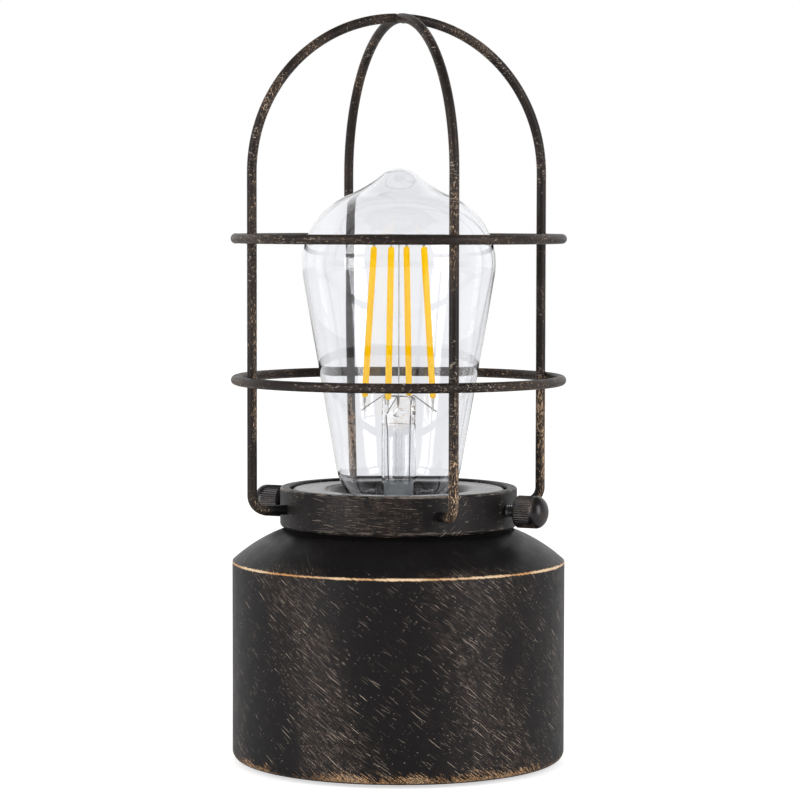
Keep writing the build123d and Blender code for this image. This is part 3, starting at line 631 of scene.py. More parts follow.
def grained(name, group, values, tint, shade, relief, settings):
    """A material that mixes two close colours by a skin, which also gives its sheen and relief."""
    material, tree, shader, position = new_material(name)
    mix, sheen, height = tree.use(group, {"Position": position, **values})
    tree.feed(shader, {"Base Color": tree.mixed(mix, tint, shade), "Roughness": sheen, **settings})
    set_relief(tree, shader, height, relief)
    return material


def plain(name, tint, shade, roughness, grain, metallic=0.0, relief=0.00003, vary=0.15, settings=None):
    """A material for small pieces, with a fine grain."""
    values = {"Grain": grain, "Roughness": roughness, "Vary": vary}
    settings = {"Metallic": metallic, **(settings or {})}
    return grained(name, "Plain skin", values, tint, shade, relief, settings)


def turned_metal(name, tint, shade, roughness, pitch):
    """Bright metal with turning marks."""
    values = {"Pitch": pitch, "Roughness": roughness}
    return grained(name, "Turned skin", values, tint, shade, 0.00002, {"Metallic": 1.0})


def glass(name, tint, waves, stain=None):
    """Clear blown glass with a slight wave; a stain is a colour with its low and high height."""
    material, tree, shader, position = new_material(name)
    refraction, drawn_out, foot_fade, top_fade = 1.47, (1.0, 1.0, 0.4), 0.002, 0.001
    base = rgba(tint)
    if stain:
        warm, low, high = stain
        z = tree.height(position)
        there = z.ramp(low, low + foot_fade) * z.ramp(high - top_fade, high, 1.0, 0.0)
        spots = tree.cloud(position, 900.0, 3.0, 0.6).ramp(0.45, 0.65)
        base = tree.mixed(there * spots, tint, warm)
    tree.feed(shader, {"Base Color": base, "Roughness": 0.0, "IOR": refraction, "Transmission Weight": 1.0})
    drift = tree.cloud(tree.vector("MULTIPLY", position, drawn_out), 70.0, 1.0)
    set_relief(tree, shader, drift, waves)
    return material


# Mesh helpers


def circle_angles(count):
    """Equal angles round a circle."""
    return [math.tau * i / count for i in range(count)]


def stacked(rows, steps, closed=False):
    """Points and faces through rows of points; a row of one point is a pole."""
    points, places, faces = [], [], []
    for row in rows:
        first = len(points)
        places.append([first] * steps if len(row) == 1 else range(first, first + steps))
        points.extend(row)
    if closed:
        places.append(places[0])
    for low, high in zip(places, places[1:]):
        for i in range(steps):
            j = (i + 1) % steps
            faces.append(tuple(dict.fromkeys((low[i], low[j], high[j], high[i]))))
    return points, faces


def turned(outline, steps, shape=None, closed=False):
    """Points and faces of a shape turned about Z; a point on the axis becomes a pole."""
    rows = []
    for radius, height in outline:
        if radius < AXIS_RADIUS:
            rows.append([(0.0, 0.0, height)])
            continue
        spokes = [(a, shape(a, radius, height) if shape else radius) for a in circle_angles(steps)]
        rows.append([(r * math.cos(a), r * math.sin(a), height) for a, r in spokes])
    return stacked(rows, steps, closed)


def swept(path, radius, sides=20, closed=False):
    """A round wire along a path of points, with flat ends or joined to itself."""
    path = [Vector(p) for p in path]
    last = len(path) - 1
    rows, side = [], None
    for i, place in enumerate(path):
        before = path[i - 1] if i or closed else place
        after = path[(i + 1) % len(path)] if i < last or closed else place
        way = (after - before).normalized()
        side = side or way.orthogonal()
        side = (side - way * side.dot(way)).normalized()
        other = way.cross(side)
        rows.append([tuple(place + radius * (math.cos(a) * side + math.sin(a) * other))
                     for a in circle_angles(sides)])
    points, faces = stacked(rows, sides, closed)
    if not closed:
        faces += [tuple(range(sides))[::-1], tuple(range(len(points) - sides, len(points)))]
    return points, faces


def bead(half_long, half_wide, half_high, rows=10, steps=20):
    """A smooth flattened bead about its own middle."""
    outline = [(math.sin(math.pi * i / rows), -math.cos(math.pi * i / rows)) for i in range(rows + 1)]
    points, faces = turned(outline, steps)
    return [(x * half_long, y * half_wide, z * half_high) for x, y, z in points], faces


def placed(shape, matrix):
    """The same points and faces moved by a matrix."""
    points, faces = shape
    return [tuple(matrix @ Vector(p)) for p in points], faces


def joined(shapes):
    """Several shapes as one."""
    points, faces = [], []
    for more_points, more_faces in shapes:
        start = len(points)
        points.extend(more_points)
        faces.extend(tuple(start + i for i in face) for face in more_faces)
    return points, faces


def along_axis(start, end):
    """The matrix that stands a shape made about Z on start, pointing at end."""
    way = Vector(end) - Vector(start)
    return Matrix.Translation(start) @ way.to_track_quat("Z", "Y").to_matrix().to_4x4()


def arc(centre, radius, start, end, count):
    """Points on an arc between two angles in radians, both ends included."""
    angles = (start + (end - start) * i / count for i in range(count + 1))
    return [(centre[0] + radius * math.cos(a), centre[1] + radius * math.sin(a)) for a in angles]


def tangent_arc(start, way, end, count):
    """Points of the arc that leaves start along way and arrives at end."""
    start, end, way = Vector(start), Vector(end), Vector(way).normalized()
    normal = Vector((-way.y, way.x))
    chord = end - start
    radius = chord.length_squared / (2 * chord.dot(normal))
    centre = start + normal * radius
    first = math.atan2(start.y - centre.y, start.x - centre.x)
    last = math.atan2(end.y - centre.y, end.x - centre.x)
    sweep = (last - first + math.pi) % math.tau - math.pi
    return arc(centre, abs(radius), first, first + sweep, count)


def add_object(name, data):
    """A new object in the scene."""
    made = bpy.data.objects.new(name, data)
    bpy.context.scene.collection.objects.link(made)
    return made


def outward_mesh(name, shape):
    """A mesh whose faces all look outwards."""
    points, faces = shape
    mesh = bpy.data.meshes.new(name)
    mesh.from_pydata(points, [], faces)
    work = bmesh.new()
    work.from_mesh(mesh)
    bmesh.ops.recalc_face_normals(work, faces=work.faces)
    work.to_mesh(mesh)
    work.free()
    return mesh


def final_mesh(made):
    """A copy of an object's mesh with its bevel or modifiers applied."""
    bpy.context.view_layer.update()
    return bpy.data.meshes.new_from_object(made.evaluated_get(bpy.context.evaluated_depsgraph_get()))


def piece(name, shape, material, body, slot, replaced=()):
    """A new object on a body, with smooth faces and crisp edges."""
    mesh = outward_mesh(name, shape)
    mesh.polygons.foreach_set("use_smooth", [True] * len(mesh.polygons))
    mesh.set_sharp_from_angle(angle=SHARP_ANGLE)
    made = add_object(name, mesh)
    mesh.materials.append(material)
    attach(made, body)
    if replaced:
        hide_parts(*replaced)
    return made


def drill(target, shape):
    """Cuts a shape out of a piece."""
    cutter = add_object("drill", outward_mesh("drill", shape))
    cut = target.modifiers.new("cut", "BOOLEAN")
    cut.operation = "DIFFERENCE"
    cut.solver = "EXACT"
    cut.object = cutter
    result = final_mesh(target)
    target.modifiers.clear()
    result.name = target.data.name
    spent = (target.data, cutter.data)
    target.data = result
    bpy.data.objects.remove(cutter)
    for mesh in spent:
        bpy.data.meshes.remove(mesh)
    if not len(result.polygons):
        raise RuntimeError(f"{target.name} came out empty after its cut")
    result.set_sharp_from_angle(angle=SHARP_ANGLE)


def wires(name, runs, radius, sides=10):
    """Round wires along smooth runs of points, as one shape."""
    data = bpy.data.curves.new(name, "CURVE")
    data.dimensions = "3D"
    data.bevel_depth = radius
    data.bevel_resolution = sides // 2 - 1
    data.use_fill_caps = True
    data.resolution_u = 8
    for run in runs:
        spline = data.splines.new("NURBS")
        spline.points.add(len(run) - 1)
        for point, place in zip(spline.points, run):
            point.co = (*place, 1.0)
        spline.use_endpoint_u = True
        spline.order_u = 3
    holder = add_object(name, data)
    mesh = final_mesh(holder)
    shape = [tuple(v.co) for v in mesh.vertices], [tuple(p.vertices) for p in mesh.polygons]
    bpy.data.objects.remove(holder)
    bpy.data.curves.remove(data)
    bpy.data.meshes.remove(mesh)
    return shape


def finish_nodes(material, *names):
    """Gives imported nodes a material."""
    for name in names:
        for place in NODES[name].material_slots:
            place.material = material


# Pieces


class LAMP_OT_base(Operator):
    """Paints the drum base"""
    bl_idname = "touch_lamp.base"
    bl_label = "Drum base"

    def execute(self, context):
        finish_nodes(drum_paint(context.scene.lamp_paint), "base_shell")
        return {"FINISHED"}


class LAMP_OT_collar(Operator):
    """Paints the collar and the lid"""
    bl_idname = "touch_lamp.collar"
    bl_label = "Collar and lid"

    def execute(self, context):
        finish = context.scene.lamp_paint
        finish_nodes(collar_paint(finish), "collar_ring")
        finish_nodes(lid_paint(finish), "top_plate")
        return {"FINISHED"}


def upright(outline, angle):
    """Points of an outline of radius and height, stood up at an angle about Z."""
    return [(r * math.cos(angle), r * math.sin(angle), z) for r, z in outline]


class LAMP_OT_cage(Operator):
    """Bends the cage's hoops and rings and adds their welds and seams"""
    bl_idname = "touch_lamp.cage"
    bl_label = "Wire cage"

    def execute(self, context):
        sizes, finish = context.scene.lamp_cage, context.scene.lamp_paint
        coat = wire_paint("Bronze paint wire", finish, down_legs, 1.15, 0.6)
        ring_coat = wire_paint("Bronze paint ring", finish, round_rings, 0.5, 0.45)
        wire, leg, bend = sizes.wire, sizes.leg_circle, sizes.foot_bend
        foot = foot_of("cage_hoop") + wire
        apex = top_of("cage_hoop") - wire
        spring = apex - leg
        post = [(reach_of("collar_ring") - sizes.foot_sink, foot)]
        post += arc((leg - bend, foot + bend), bend, -math.pi / 2, 0.0, 18)
        post += [(leg, foot + bend + (spring - foot - bend) * i / 20) for i in range(1, 20)]
        other = [(-r, z) for r, z in reversed(post)]
        whole = post + arc((0, spring), leg, 0.0, math.pi, 120) + other
        half = post + arc((0, spring), leg, 0.0, math.acos(wire * 0.8 / leg), 60)
        for name, outline, angle in (("hoop", whole, 315), ("half_hoop_right", half, 45),
                                     ("half_hoop_left", half, 225)):
            shape = swept(upright(outline, math.radians(angle)), wire)
            piece(f"bent_{name}", shape, coat, "cage", "bronze_paint", (f"cage_{name}",))
        heights = []
        for name in ("upper_ring", "lower_ring"):
            height = (foot_of(f"cage_{name}") + top_of(f"cage_{name}")) / 2
            circle = [(x, y, height) for x, y in arc((0, 0), sizes.ring_circle, 0.0, math.tau, 240)[:-1]]
            shape = swept(circle, wire, closed=True)
            piece(f"rolled_{name}", shape, ring_coat, "cage", "bronze_paint", (f"cage_{name}",))
            heights.append(height)
        piece("cage_welds", self.welds(sizes, heights, apex), coat, "cage", "bronze_paint")
        return {"FINISHED"}

    def welds(self, sizes, heights, apex):
        """Beads where wires cross and a seam in each ring."""
        wire, weld = sizes.wire, sizes.weld
        contact = (sizes.leg_circle + sizes.ring_circle) / 2
        crossing = bead(wire * 0.5, weld, weld * 0.95)
        crown = bead(weld * 0.8, weld * 0.9, wire * 0.96)
        seam = bead(wire * 1.07, weld * 0.7, wire * 1.07)
        places = [(crossing, math.radians(45 + 90 * quarter), contact, height)
                  for quarter in range(4) for height in heights]
        places += [(crown, math.radians(side), wire * 0.9, apex - wire * 0.1) for side in (45, 225)]
        places += [(seam, sizes.seam_angle, sizes.ring_circle, height) for height in heights]
        return joined([
            placed(shape, Matrix.Rotation(angle, 4, "Z") @ Matrix.Translation((radius, 0, height)))
            for shape, angle, radius, height in places])


class LAMP_OT_thumb_screws(Operator):
    """Makes the knurled heads with their round ends and the threaded shanks"""
    bl_idname = "touch_lamp.thumb_screws"
    bl_label = "Thumb screws"

    pitch: length("Pitch", "Pitch of the shank's thread", 0.0007)
    depth: length("Depth", "Depth of the shank's thread", 0.00032)
    tip: length("Tip", "Chamfer at the shank's start", 0.0005)
    ridges: whole_number("Ridges", "Ridges round each head", 40)
    ridge_depth: length("Ridge depth", "Depth of the ridges", 0.00022)
    run_out: length("Run out", "Length in which the ridges fade to the round end", 0.0014)
    dome: length("Round end", "Length of the round end of each head", 0.0038)
    edge: length("Edge", "Chamfer at the head's flat end", 0.0005)
    gap: length("Gap", "Clearance of the shank in the head", 0.00003)

    def execute(self, context):
        coat = knob_paint(context.scene.lamp_paint)
        steel = plain("Bright steel", (0.40, 0.39, 0.39), (0.30, 0.29, 0.29), 0.3, 0.0005, 1.0)
        stud_low, stud_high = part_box("thumb_stud_right")
        knob_low, knob_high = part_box("thumb_knob_right")
        middle = (stud_low.z + stud_high.z) / 2
        bore = (stud_high.z - stud_low.z) / 2
        shank = self.shank(bore, stud_high.x - stud_low.x)
        head = self.head((knob_high.z - knob_low.z) / 2, knob_high.x - knob_low.x, bore,
                         stud_high.x - knob_low.x)
        for side, sign in (("right", 1), ("left", -1)):
            for kind, shape, start, material, slot in (("stud", shank, stud_low.x, steel, "bright_steel"),
                                                       ("knob", head, knob_low.x, coat, "bronze_paint")):
                way = along_axis((sign * start, 0, middle), (sign * (start + 1), 0, middle))
                piece(f"thumb_screw_{kind}_{side}", placed(shape, way), material, f"{kind}_{side}", slot,
                      (f"thumb_{kind}_{side}",))
        return {"FINISHED"}

    def shank(self, radius, run):
        """A threaded shank with a pointed start."""
        rows = int(run / self.pitch * 8)

        def thread(angle, r, z):
            wave = abs(((z / self.pitch - angle / math.tau) % 1.0) * 2 - 1)
            fade = min(1.0, min(z, run - z) / self.pitch)
            return r - self.depth * wave * max(0.0, fade)

        outline = [(0.0, 0.0), (radius - self.tip, 0.0)]
        outline += [(radius, self.tip + (run - self.tip) * i / rows) for i in range(rows + 1)]
        return turned(outline + [(0.0, run)], 32, thread)

    def head(self, radius, run, bore, hold):
        """A bored head with ridges along its grip and a round end."""
        gap, edge = self.gap, self.edge
        grip = run - self.dome

        def knurl(angle, r, z):
            if r < radius - edge * 0.5 or z > grip:
                return r
            fade = min(1.0, (grip - z) / self.run_out)
            ease = fade * fade * (3 - 2 * fade)
            return r - self.ridge_depth * ease * (0.5 - 0.5 * math.cos(self.ridges * angle))

        outline = [(0.0, hold + gap), (bore + gap, hold + gap), (bore + gap, 0.0), (radius - edge, 0.0)]
        outline += [(radius, edge + (grip - edge) * i / 30) for i in range(30)]
        round_end = arc((0.0, 0.0), 1.0, 0.0, math.pi / 2, 24)
        outline += [(radius * x, grip + self.dome * y) for x, y in round_end[:-1]] + [(0.0, run)]
        return turned(outline, self.ridges * 8, knurl)


def bulb_outline(sizes, inset):
    """The bulb from its tip to its neck as radius and height, moved in by an inset."""
    cap_top, glass_foot = top_of("bulb_cap_shell"), foot_of("bulb_glass")
    blend_r = sizes.neck + sizes.neck_flare - sizes.blend * math.cos(sizes.blend_angle)
    blend_z = cap_top + sizes.neck_rise + sizes.blend * math.sin(sizes.blend_angle)
    crown_r = sizes.radius - sizes.crown
    run = crown_r - blend_r + (sizes.crown - sizes.blend) * math.cos(sizes.taper)
    crown_z = blend_z + run / math.tan(sizes.taper) + (sizes.crown - sizes.blend) * math.sin(sizes.taper)
    nub = (0.0, top_of("bulb_glass") - sizes.nub)
    tip = arc(nub, sizes.nub - inset, math.pi / 2, math.pi / 2 - sizes.nub_angle, 24)
    tip[0] = (0.0, tip[0][1])
    shoulder = arc((crown_r, crown_z), sizes.crown - inset, sizes.crown_angle, -sizes.taper, 48)
    way = (-math.sin(sizes.crown_angle), math.cos(sizes.crown_angle))
    hollow = tangent_arc(shoulder[0], way, tip[-1], 14)
    lower = arc((blend_r, blend_z), sizes.blend - inset, -sizes.taper, -sizes.blend_angle, 28)
    side = [tuple(Vector(shoulder[-1]).lerp(Vector(lower[0]), i / 24)) for i in range(1, 24)]
    throat = (sizes.neck - inset, cap_top)
    down = (-math.sin(sizes.blend_angle), -math.cos(sizes.blend_angle))
    flare = tangent_arc(lower[-1], down, throat, 10)
    seat = [(throat[0], glass_foot + (cap_top - glass_foot) * i / 4) for i in (3, 2, 1, 0)]
    return tip + hollow[-2:0:-1] + shoulder + side + lower + flare[1:] + seat


class LAMP_OT_bulb_glass(Operator):
    """Makes the blown glass, with its wall and drawn tip"""
    bl_idname = "touch_lamp.bulb_glass"
    bl_label = "Bulb glass"

    tint: colour("Tint", "Colour of the glass", (0.952, 0.957, 0.974))
    waves: length("Waves", "Depth of the slight waves in the glass", 0.0002)

    def execute(self, context):
        sizes = context.scene.lamp_bulb
        outer = bulb_outline(sizes, 0.0)
        inner = bulb_outline(sizes, sizes.wall)
        shape = turned(outer + inner[::-1], sizes.steps)
        clear = glass("Clear glass", self.tint, self.waves)
        piece("blown_glass", shape, clear, "bulb", "clear_glass", ("bulb_glass",))
        return {"FINISHED"}


class LAMP_OT_bulb_stem(Operator):
    """Makes the glass stem with its flat press and exhaust hole, the tube inside it and its cement"""
    bl_idname = "touch_lamp.bulb_stem"
    bl_label = "Bulb stem"

    wall: length("Wall", "Thickness of the stem's glass", 0.0006)
    neck_gap: length("Neck gap", "Clearance of the flare in the bulb's neck", 0.0003)
    rim: length("Rim", "Height of the flare's straight rim", 0.0006)
    flare: length("Flare", "Height in which the flare narrows to the tube", 0.0085)
    tube_foot: length("Tube foot", "Where the straight tube starts above the rim's foot", 0.014)
    press: length("Press", "Height of the flat press", 0.0103)
    waist: length("Waist", "How far below the press its squeeze starts", 0.004)
    squeeze: length("Squeeze", "Height in which the tube is squeezed flat", 0.005)
    bore_top: length("Bore top", "How far the bore goes up into the press", 0.0012)
    hole_height: length("Hole height", "Height of the exhaust hole in the press", 0.0047)
    hole_reach: length("Hole reach", "Half length of the drill for the exhaust hole", 0.01)
    tube: length("Exhaust tube", "Radius of the tube inside the stem", 0.0013)
    tube_wall: length("Exhaust wall", "Thickness of the tube inside the stem", 0.0004)
    tube_floor: length("Exhaust foot", "Where the tube inside starts above the stem's foot", 0.002)
    tube_roof: length("Exhaust top", "Where the tube inside ends below the press", 0.0015)
    packing: length("Packing", "Height of the cement in the stem above the collar's foot", 0.0149)
    packing_cone: length("Packing cone", "Where the cement is as wide as the stem's bore", 0.0095)
    packing_foot: length("Packing foot", "Thickness of the cement at its foot", 0.0006)
    tube_fit: length("Tube fit", "Clearance of the cement round the tube inside", 0.00005)
    bore_fit: length("Bore fit", "Clearance of the cement in the stem's bore", 0.0001)
    crown: length("Crown", "Rise of the middle of the press's top", 0.0002)
    tint: colour("Tint", "Colour of the stem's glass", (0.965, 0.968, 0.975))
    warm: colour("Press tint", "Warm stain in the press", (0.90, 0.82, 0.72))
    stain_drop: length("Stain drop", "How far the stain goes below the press", 0.001)
    waves: length("Waves", "Depth of the slight waves in the glass", 0.0005)

    def execute(self, context):
        sizes = context.scene.lamp_bulb
        foot, press_top = foot_of("bulb_stem"), top_of("bulb_stem")
        press_foot = press_top - self.press
        facing = Matrix.Rotation(sizes.filament_turn, 4, "Z")
        stain = (self.warm, press_foot - self.stain_drop, press_top)
        clear = glass("Stem glass", self.tint, self.waves, stain)
        shape = placed(self.blown(sizes, foot, press_foot, press_top), facing)
        stem = piece("glass_stem", shape, clear, "bulb", "clear_glass", ("bulb_stem",))
        hole = turned([(0.0, -self.hole_reach), (sizes.exhaust, -self.hole_reach),
                       (sizes.exhaust, self.hole_reach), (0.0, self.hole_reach)], 32)
        lifted = Matrix.Translation((0, 0, press_foot + self.hole_height))
        drill(stem, placed(hole, facing @ lifted @ Matrix.Rotation(math.pi / 2, 4, "X")))
        floor, roof = foot + self.tube_floor, press_foot - self.tube_roof
        bore = self.tube - self.tube_wall
        outline = [(self.tube, floor), (self.tube, roof), (bore, roof), (bore, floor)]
        piece("exhaust_tube", turned(outline, 24, closed=True), clear, "bulb", "clear_glass")
        fill_top = foot_of("collar_ring") + self.packing
        inner, reach = self.tube + self.tube_fit, sizes.stem - self.wall - self.bore_fit
        fill = [(inner, floor), (inner, fill_top), (reach, fill_top), (reach, foot + self.packing_cone),
                (inner + self.packing_foot, floor)]
        cement = plain("Stem cement", (0.95, 0.97, 0.98), (0.46, 0.51, 0.53), 0.7, 0.0004, relief=0.0002)
        piece("stem_packing", turned(fill, 32, closed=True), cement, "bulb", "holder_ceramic")
        return {"FINISHED"}

    def sections(self, sizes, foot, press_foot, press_top):
        """Half width, half depth and height of the stem from its flare to the top of its press."""
        wide, stem = sizes.neck - sizes.wall - self.neck_gap, sizes.stem
        width, depth = sizes.press_width, sizes.press_depth
        rows = [(wide, wide, foot), (wide, wide, foot + self.rim)]
        eighths = [i / 8 for i in range(1, 9)]
        for t in eighths:
            r = stem + (wide - stem) * (1 - t) ** 2
            rows.append((r, r, foot + self.rim + self.flare * t))
        waist = press_foot - self.waist
        rows += [(stem, stem, foot + self.tube_foot), (stem, stem, waist)]
        for t in eighths:
            ease = t * t * (3 - 2 * t)
            half_width, half_depth = stem + (width - stem) * ease, stem + (depth - stem) * ease
            rows.append((half_width, half_depth, waist + self.squeeze * t))
        crest = depth * 0.8
        for i in range(6):
            a = math.pi / 2 * i / 5
            pull = crest * (1 - math.cos(a))
            rows.append((width - pull, depth - pull, press_top - crest + crest * math.sin(a)))
        return rows

    def blown(self, sizes, foot, press_foot, press_top):
        """The stem's glass with its bore, closed at the press."""
        steps = 48
        outer = self.sections(sizes, foot, press_foot, press_top)
        bore = [(x - self.wall, y - self.wall, z) for x, y, z in outer if z < press_foot + self.bore_top]
        ovals = [[(x * math.cos(a), y * math.sin(a), z) for a in circle_angles(steps)]
                 for x, y, z in bore[::-1] + outer]
        inner_pole = [(0.0, 0.0, bore[-1][2] + self.wall)]
        outer_pole = [(0.0, 0.0, press_top + self.crown)]
        return stacked([inner_pole, *ovals, outer_pole], steps)


class LAMP_OT_filaments(Operator):
    """Makes the coated filaments, their end tabs, the support wires and the lead-in wires"""
    bl_idname = "touch_lamp.filaments"
    bl_label = "Filaments"

    # Also the colour of the coating's painted glow.
    coating: colour("Coating", "Colour of the unlit filament coating", (1.0, 0.60, 0.0))
    coating_dark: colour("Coating shade", "Deeper tone in the coating", (0.98, 0.53, 0.0))
    tab: length("Tab", "Radius of a filament's end tab", 0.0004)
    tab_reach: length("Tab reach", "How far an end tab stands out", 0.0016)
    elbow_drop: length("Elbow drop", "Height of a filament's foot above its support's elbow", 0.0042)
    overlap: length("Overlap", "How far a wire runs past the wire it is welded to", 0.0012)
    head_bend: length("Head bend", "Where the wire above a filament bends to the hub", 0.0022)
    horn_rise: length("Horn rise", "How far a support stands up out of the press", 0.0009)
    horn_lean: length("Horn lean", "How far a support leans out above the press", 0.0003)
    root: length("Root", "Depth of a support in the press", 0.003)
    mast_root: length("Mast root", "Depth of the middle support in the press", 0.004)
    mast_rise: length("Mast rise", "Straight start of the middle support", 0.01)
    mast_end: length("Mast end", "Straight end of the middle support below the hub", 0.002)
    lead: length("Lead-in wire", "Radius of a lead-in wire", 0.0002)
    lead_place: length("Lead-in place", "Distance of each lead-in wire from the axis", 0.0039)

    def execute(self, context):
        sizes = context.scene.lamp_bulb
        low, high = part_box("bulb_filaments")
        press_top = top_of("bulb_stem")
        hub = UP * (top_of("bulb_supports") - sizes.support)
        rods, tabs, runs = [], [], []
        tab = turned([(0.0, -self.tab_reach), (self.tab, -self.tab_reach), (self.tab, self.tab),
                      (0.0, self.tab)], 10)
        for index in range(4):
            out = Vector((1, 0, 0))
            out.rotate(Matrix.Rotation(sizes.filament_turn + math.pi / 2 * index, 3, "Z"))
            foot, head = out * sizes.filament_foot + UP * low.z, out * sizes.filament_head + UP * high.z
            rods.append(placed(self.rod(sizes.filament, (head - foot).length), along_axis(foot, head)))
            tabs += [placed(tab, along_axis(foot, head)), placed(tab, along_axis(head, foot))]
            runs += self.supports(index, out, foot, head, UP * press_top, hub)
        runs.append([UP * (press_top - self.mast_root), UP * (press_top + self.mast_rise),
                     hub - UP * self.mast_end, hub + UP * sizes.support])
        # Painted glow: the unlit coating emits light in its own colour at strength 0.2.
        coat = plain("Filament coating", self.coating, self.coating_dark, 0.45, 0.0007, relief=0.00006,
                     settings={"Specular IOR Level": 0.05, "Emission Color": rgba(self.coating),
                               "Emission Strength": 0.2})
        piece("coated_filaments", joined(rods), coat, "bulb", "filament_yellow", ("bulb_filaments",))
        metal = plain("Support wire", (0.50, 0.49, 0.47), (0.33, 0.32, 0.31), 0.35, 0.0004, 1.0)
        fine = wires("support_wires", runs, sizes.support)
        piece("support_wires", joined([fine] + tabs), metal, "bulb", "support_wire", ("bulb_supports",))
        dark = plain("Lead-in wire", (0.16, 0.15, 0.15), (0.09, 0.085, 0.085), 0.4, 0.0004, 0.8)
        facing = Matrix.Rotation(sizes.filament_turn, 4, "Z")
        leads = placed(wires("lead_in_wires", self.leads(press_top), self.lead), facing)
        piece("lead_in_wires", leads, dark, "bulb", "support_wire")
        return {"FINISHED"}

    def rod(self, radius, span):
        """A coated filament with round ends."""
        end = [(radius * math.sin(a), radius * (1 - math.cos(a))) for a in (0.0, 0.35, 0.7, 1.05, 1.4)]
        middle = [(radius, span * i / 10) for i in range(1, 10)]
        return turned(end + middle + [(r, span - z) for r, z in reversed(end)], 24)

    def supports(self, index, out, foot, head, press, hub):
        """A filament's wires: from the press to an elbow, on to its foot, and from its head to the hub."""
        way = (head - foot).normalized()
        elbow = foot - UP * self.elbow_drop
        end = elbow + out * self.overlap
        # Reach and drop of a support where it leaves the press, and its reach inside
        near_axis, near_edge = (0.0012, 0.0008, 0.0008), (0.0046, 0.0005, 0.0042)
        root_out, root_drop, inside_out = near_axis if index % 2 else near_edge
        root = press - UP * root_drop + out * root_out
        horn = root + UP * self.horn_rise + out * self.horn_lean
        inside = press - UP * self.root + out * inside_out
        return [[inside, root, horn, horn.lerp(end, 0.12), end.lerp(horn, 0.06), end],
                [elbow, elbow.lerp(foot, 0.5), foot - way * self.overlap],
                [head + way * self.overlap, head + way * self.head_bend,
                 hub.lerp(head, 0.35) + UP * self.overlap, hub.lerp(head, 0.1), hub]]

    def leads(self, press_top):
        """Runs of the two lead-in wires, from the stem's foot into the press."""
        straight, spread, bend, end = 0.008, 0.020, 0.013, 0.0065
        foot = foot_of("bulb_stem")
        # Share of the distance from the axis, and height
        shape = ((0.86, foot), (0.9, foot + straight), (0.97, press_top - spread),
                 (1.0, press_top - bend), (1.02, press_top - end))
        return [[Vector((side * self.lead_place * part, 0, z)) for part, z in shape] for side in (-1, 1)]


class LAMP_OT_bulb_cap(Operator):
    """Makes the bulb's cap with its rolled screw thread, insulator and solder tip"""
    bl_idname = "touch_lamp.bulb_cap"
    bl_label = "Bulb cap"

    pitch: length("Pitch", "Pitch of the cap's thread", 0.00363)
    depth: length("Depth", "Depth of the cap's thread", 0.0007)
    wall: length("Wall", "Thickness of the cap's shell", 0.00035)
    skirt: length("Skirt", "Plain height above the thread", 0.0037)
    run_out: length("Run out", "Height in which the thread fades at its ends", 0.0016)

    def execute(self, context):
        low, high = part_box("bulb_cap_shell")
        core = high.x - self.depth
        thread_top = high.z - self.skirt + self.run_out / 2
        rows = 84

        def thread(angle, r, z):
            wave = 0.5 + 0.5 * math.cos(math.tau * (z - low.z) / self.pitch - angle)
            fades = [min(1.0, max(0.0, room / self.run_out)) for room in (thread_top - z, z - low.z)]
            return r + self.depth * wave * fades[0] * fades[1]

        heights = [low.z + (high.z - low.z) * i / rows for i in range(rows + 1)]
        outline = [(core, z) for z in heights] + [(core - self.wall, z) for z in reversed(heights)]
        nickel = turned_metal("Nickel cap", (0.66, 0.64, 0.60), (0.52, 0.50, 0.47), 0.24, 0.00022)
        piece("threaded_cap", turned(outline, 96, thread, closed=True), nickel, "bulb", "cap_nickel",
              ("bulb_cap_shell",))
        finish_nodes(plain("Cap insulator", (0.012, 0.012, 0.014), (0.02, 0.02, 0.024), 0.12, 0.001),
                     "bulb_cap_insulator")
        finish_nodes(plain("Solder tip", (0.55, 0.55, 0.54), (0.40, 0.40, 0.39), 0.34, 0.0009, 1.0,
                           0.0001), "bulb_tip_contact")
        finish_nodes(plain("Driver board", (0.02, 0.10, 0.035), (0.014, 0.075, 0.025), 0.4, 0.0007),
                     "bulb_driver")
        return {"FINISHED"}


class LAMP_OT_lampholder(Operator):
    """Finishes the lampholder"""
    bl_idname = "touch_lamp.lampholder"
    bl_label = "Lampholder"

    def execute(self, context):
        finish_nodes(plain("Glazed ceramic", (0.78, 0.76, 0.71), (0.68, 0.66, 0.61), 0.16, 0.0016,
                           settings={"Coat Weight": 0.4}), "lampholder_body")
        finish_nodes(plain("Moulded phenolic", (0.018, 0.016, 0.015), (0.032, 0.028, 0.026), 0.38, 0.0009),
                     "lampholder_housing")
        finish_nodes(turned_metal("Rolled brass", (0.72, 0.52, 0.22), (0.58, 0.40, 0.16), 0.3, 0.0003),
                     "screw_shell", "centre_contact", "terminal_screws")
        return {"FINISHED"}


class LAMP_OT_underside(Operator):
    """Finishes the bottom plate, its lugs, screws and feet, and the cord gland"""
    bl_idname = "touch_lamp.underside"
    bl_label = "Underside"

    def execute(self, context):
        finish_nodes(plain("Zinc plate", (0.56, 0.57, 0.58), (0.42, 0.43, 0.45), 0.38, 0.0022, 1.0,
                           0.00002, 0.3), "bottom_plate", "bottom_screws", "plate_lugs")
        finish_nodes(plain("Black rubber", (0.014, 0.014, 0.014), (0.024, 0.024, 0.024), 0.72, 0.0006,
                           relief=0.00008), "rubber_feet")
        finish_nodes(plain("Black nylon", (0.013, 0.013, 0.013), (0.022, 0.022, 0.022), 0.48, 0.0005,
                           relief=0.00005), "cord_gland", "gland_nut")
        return {"FINISHED"}


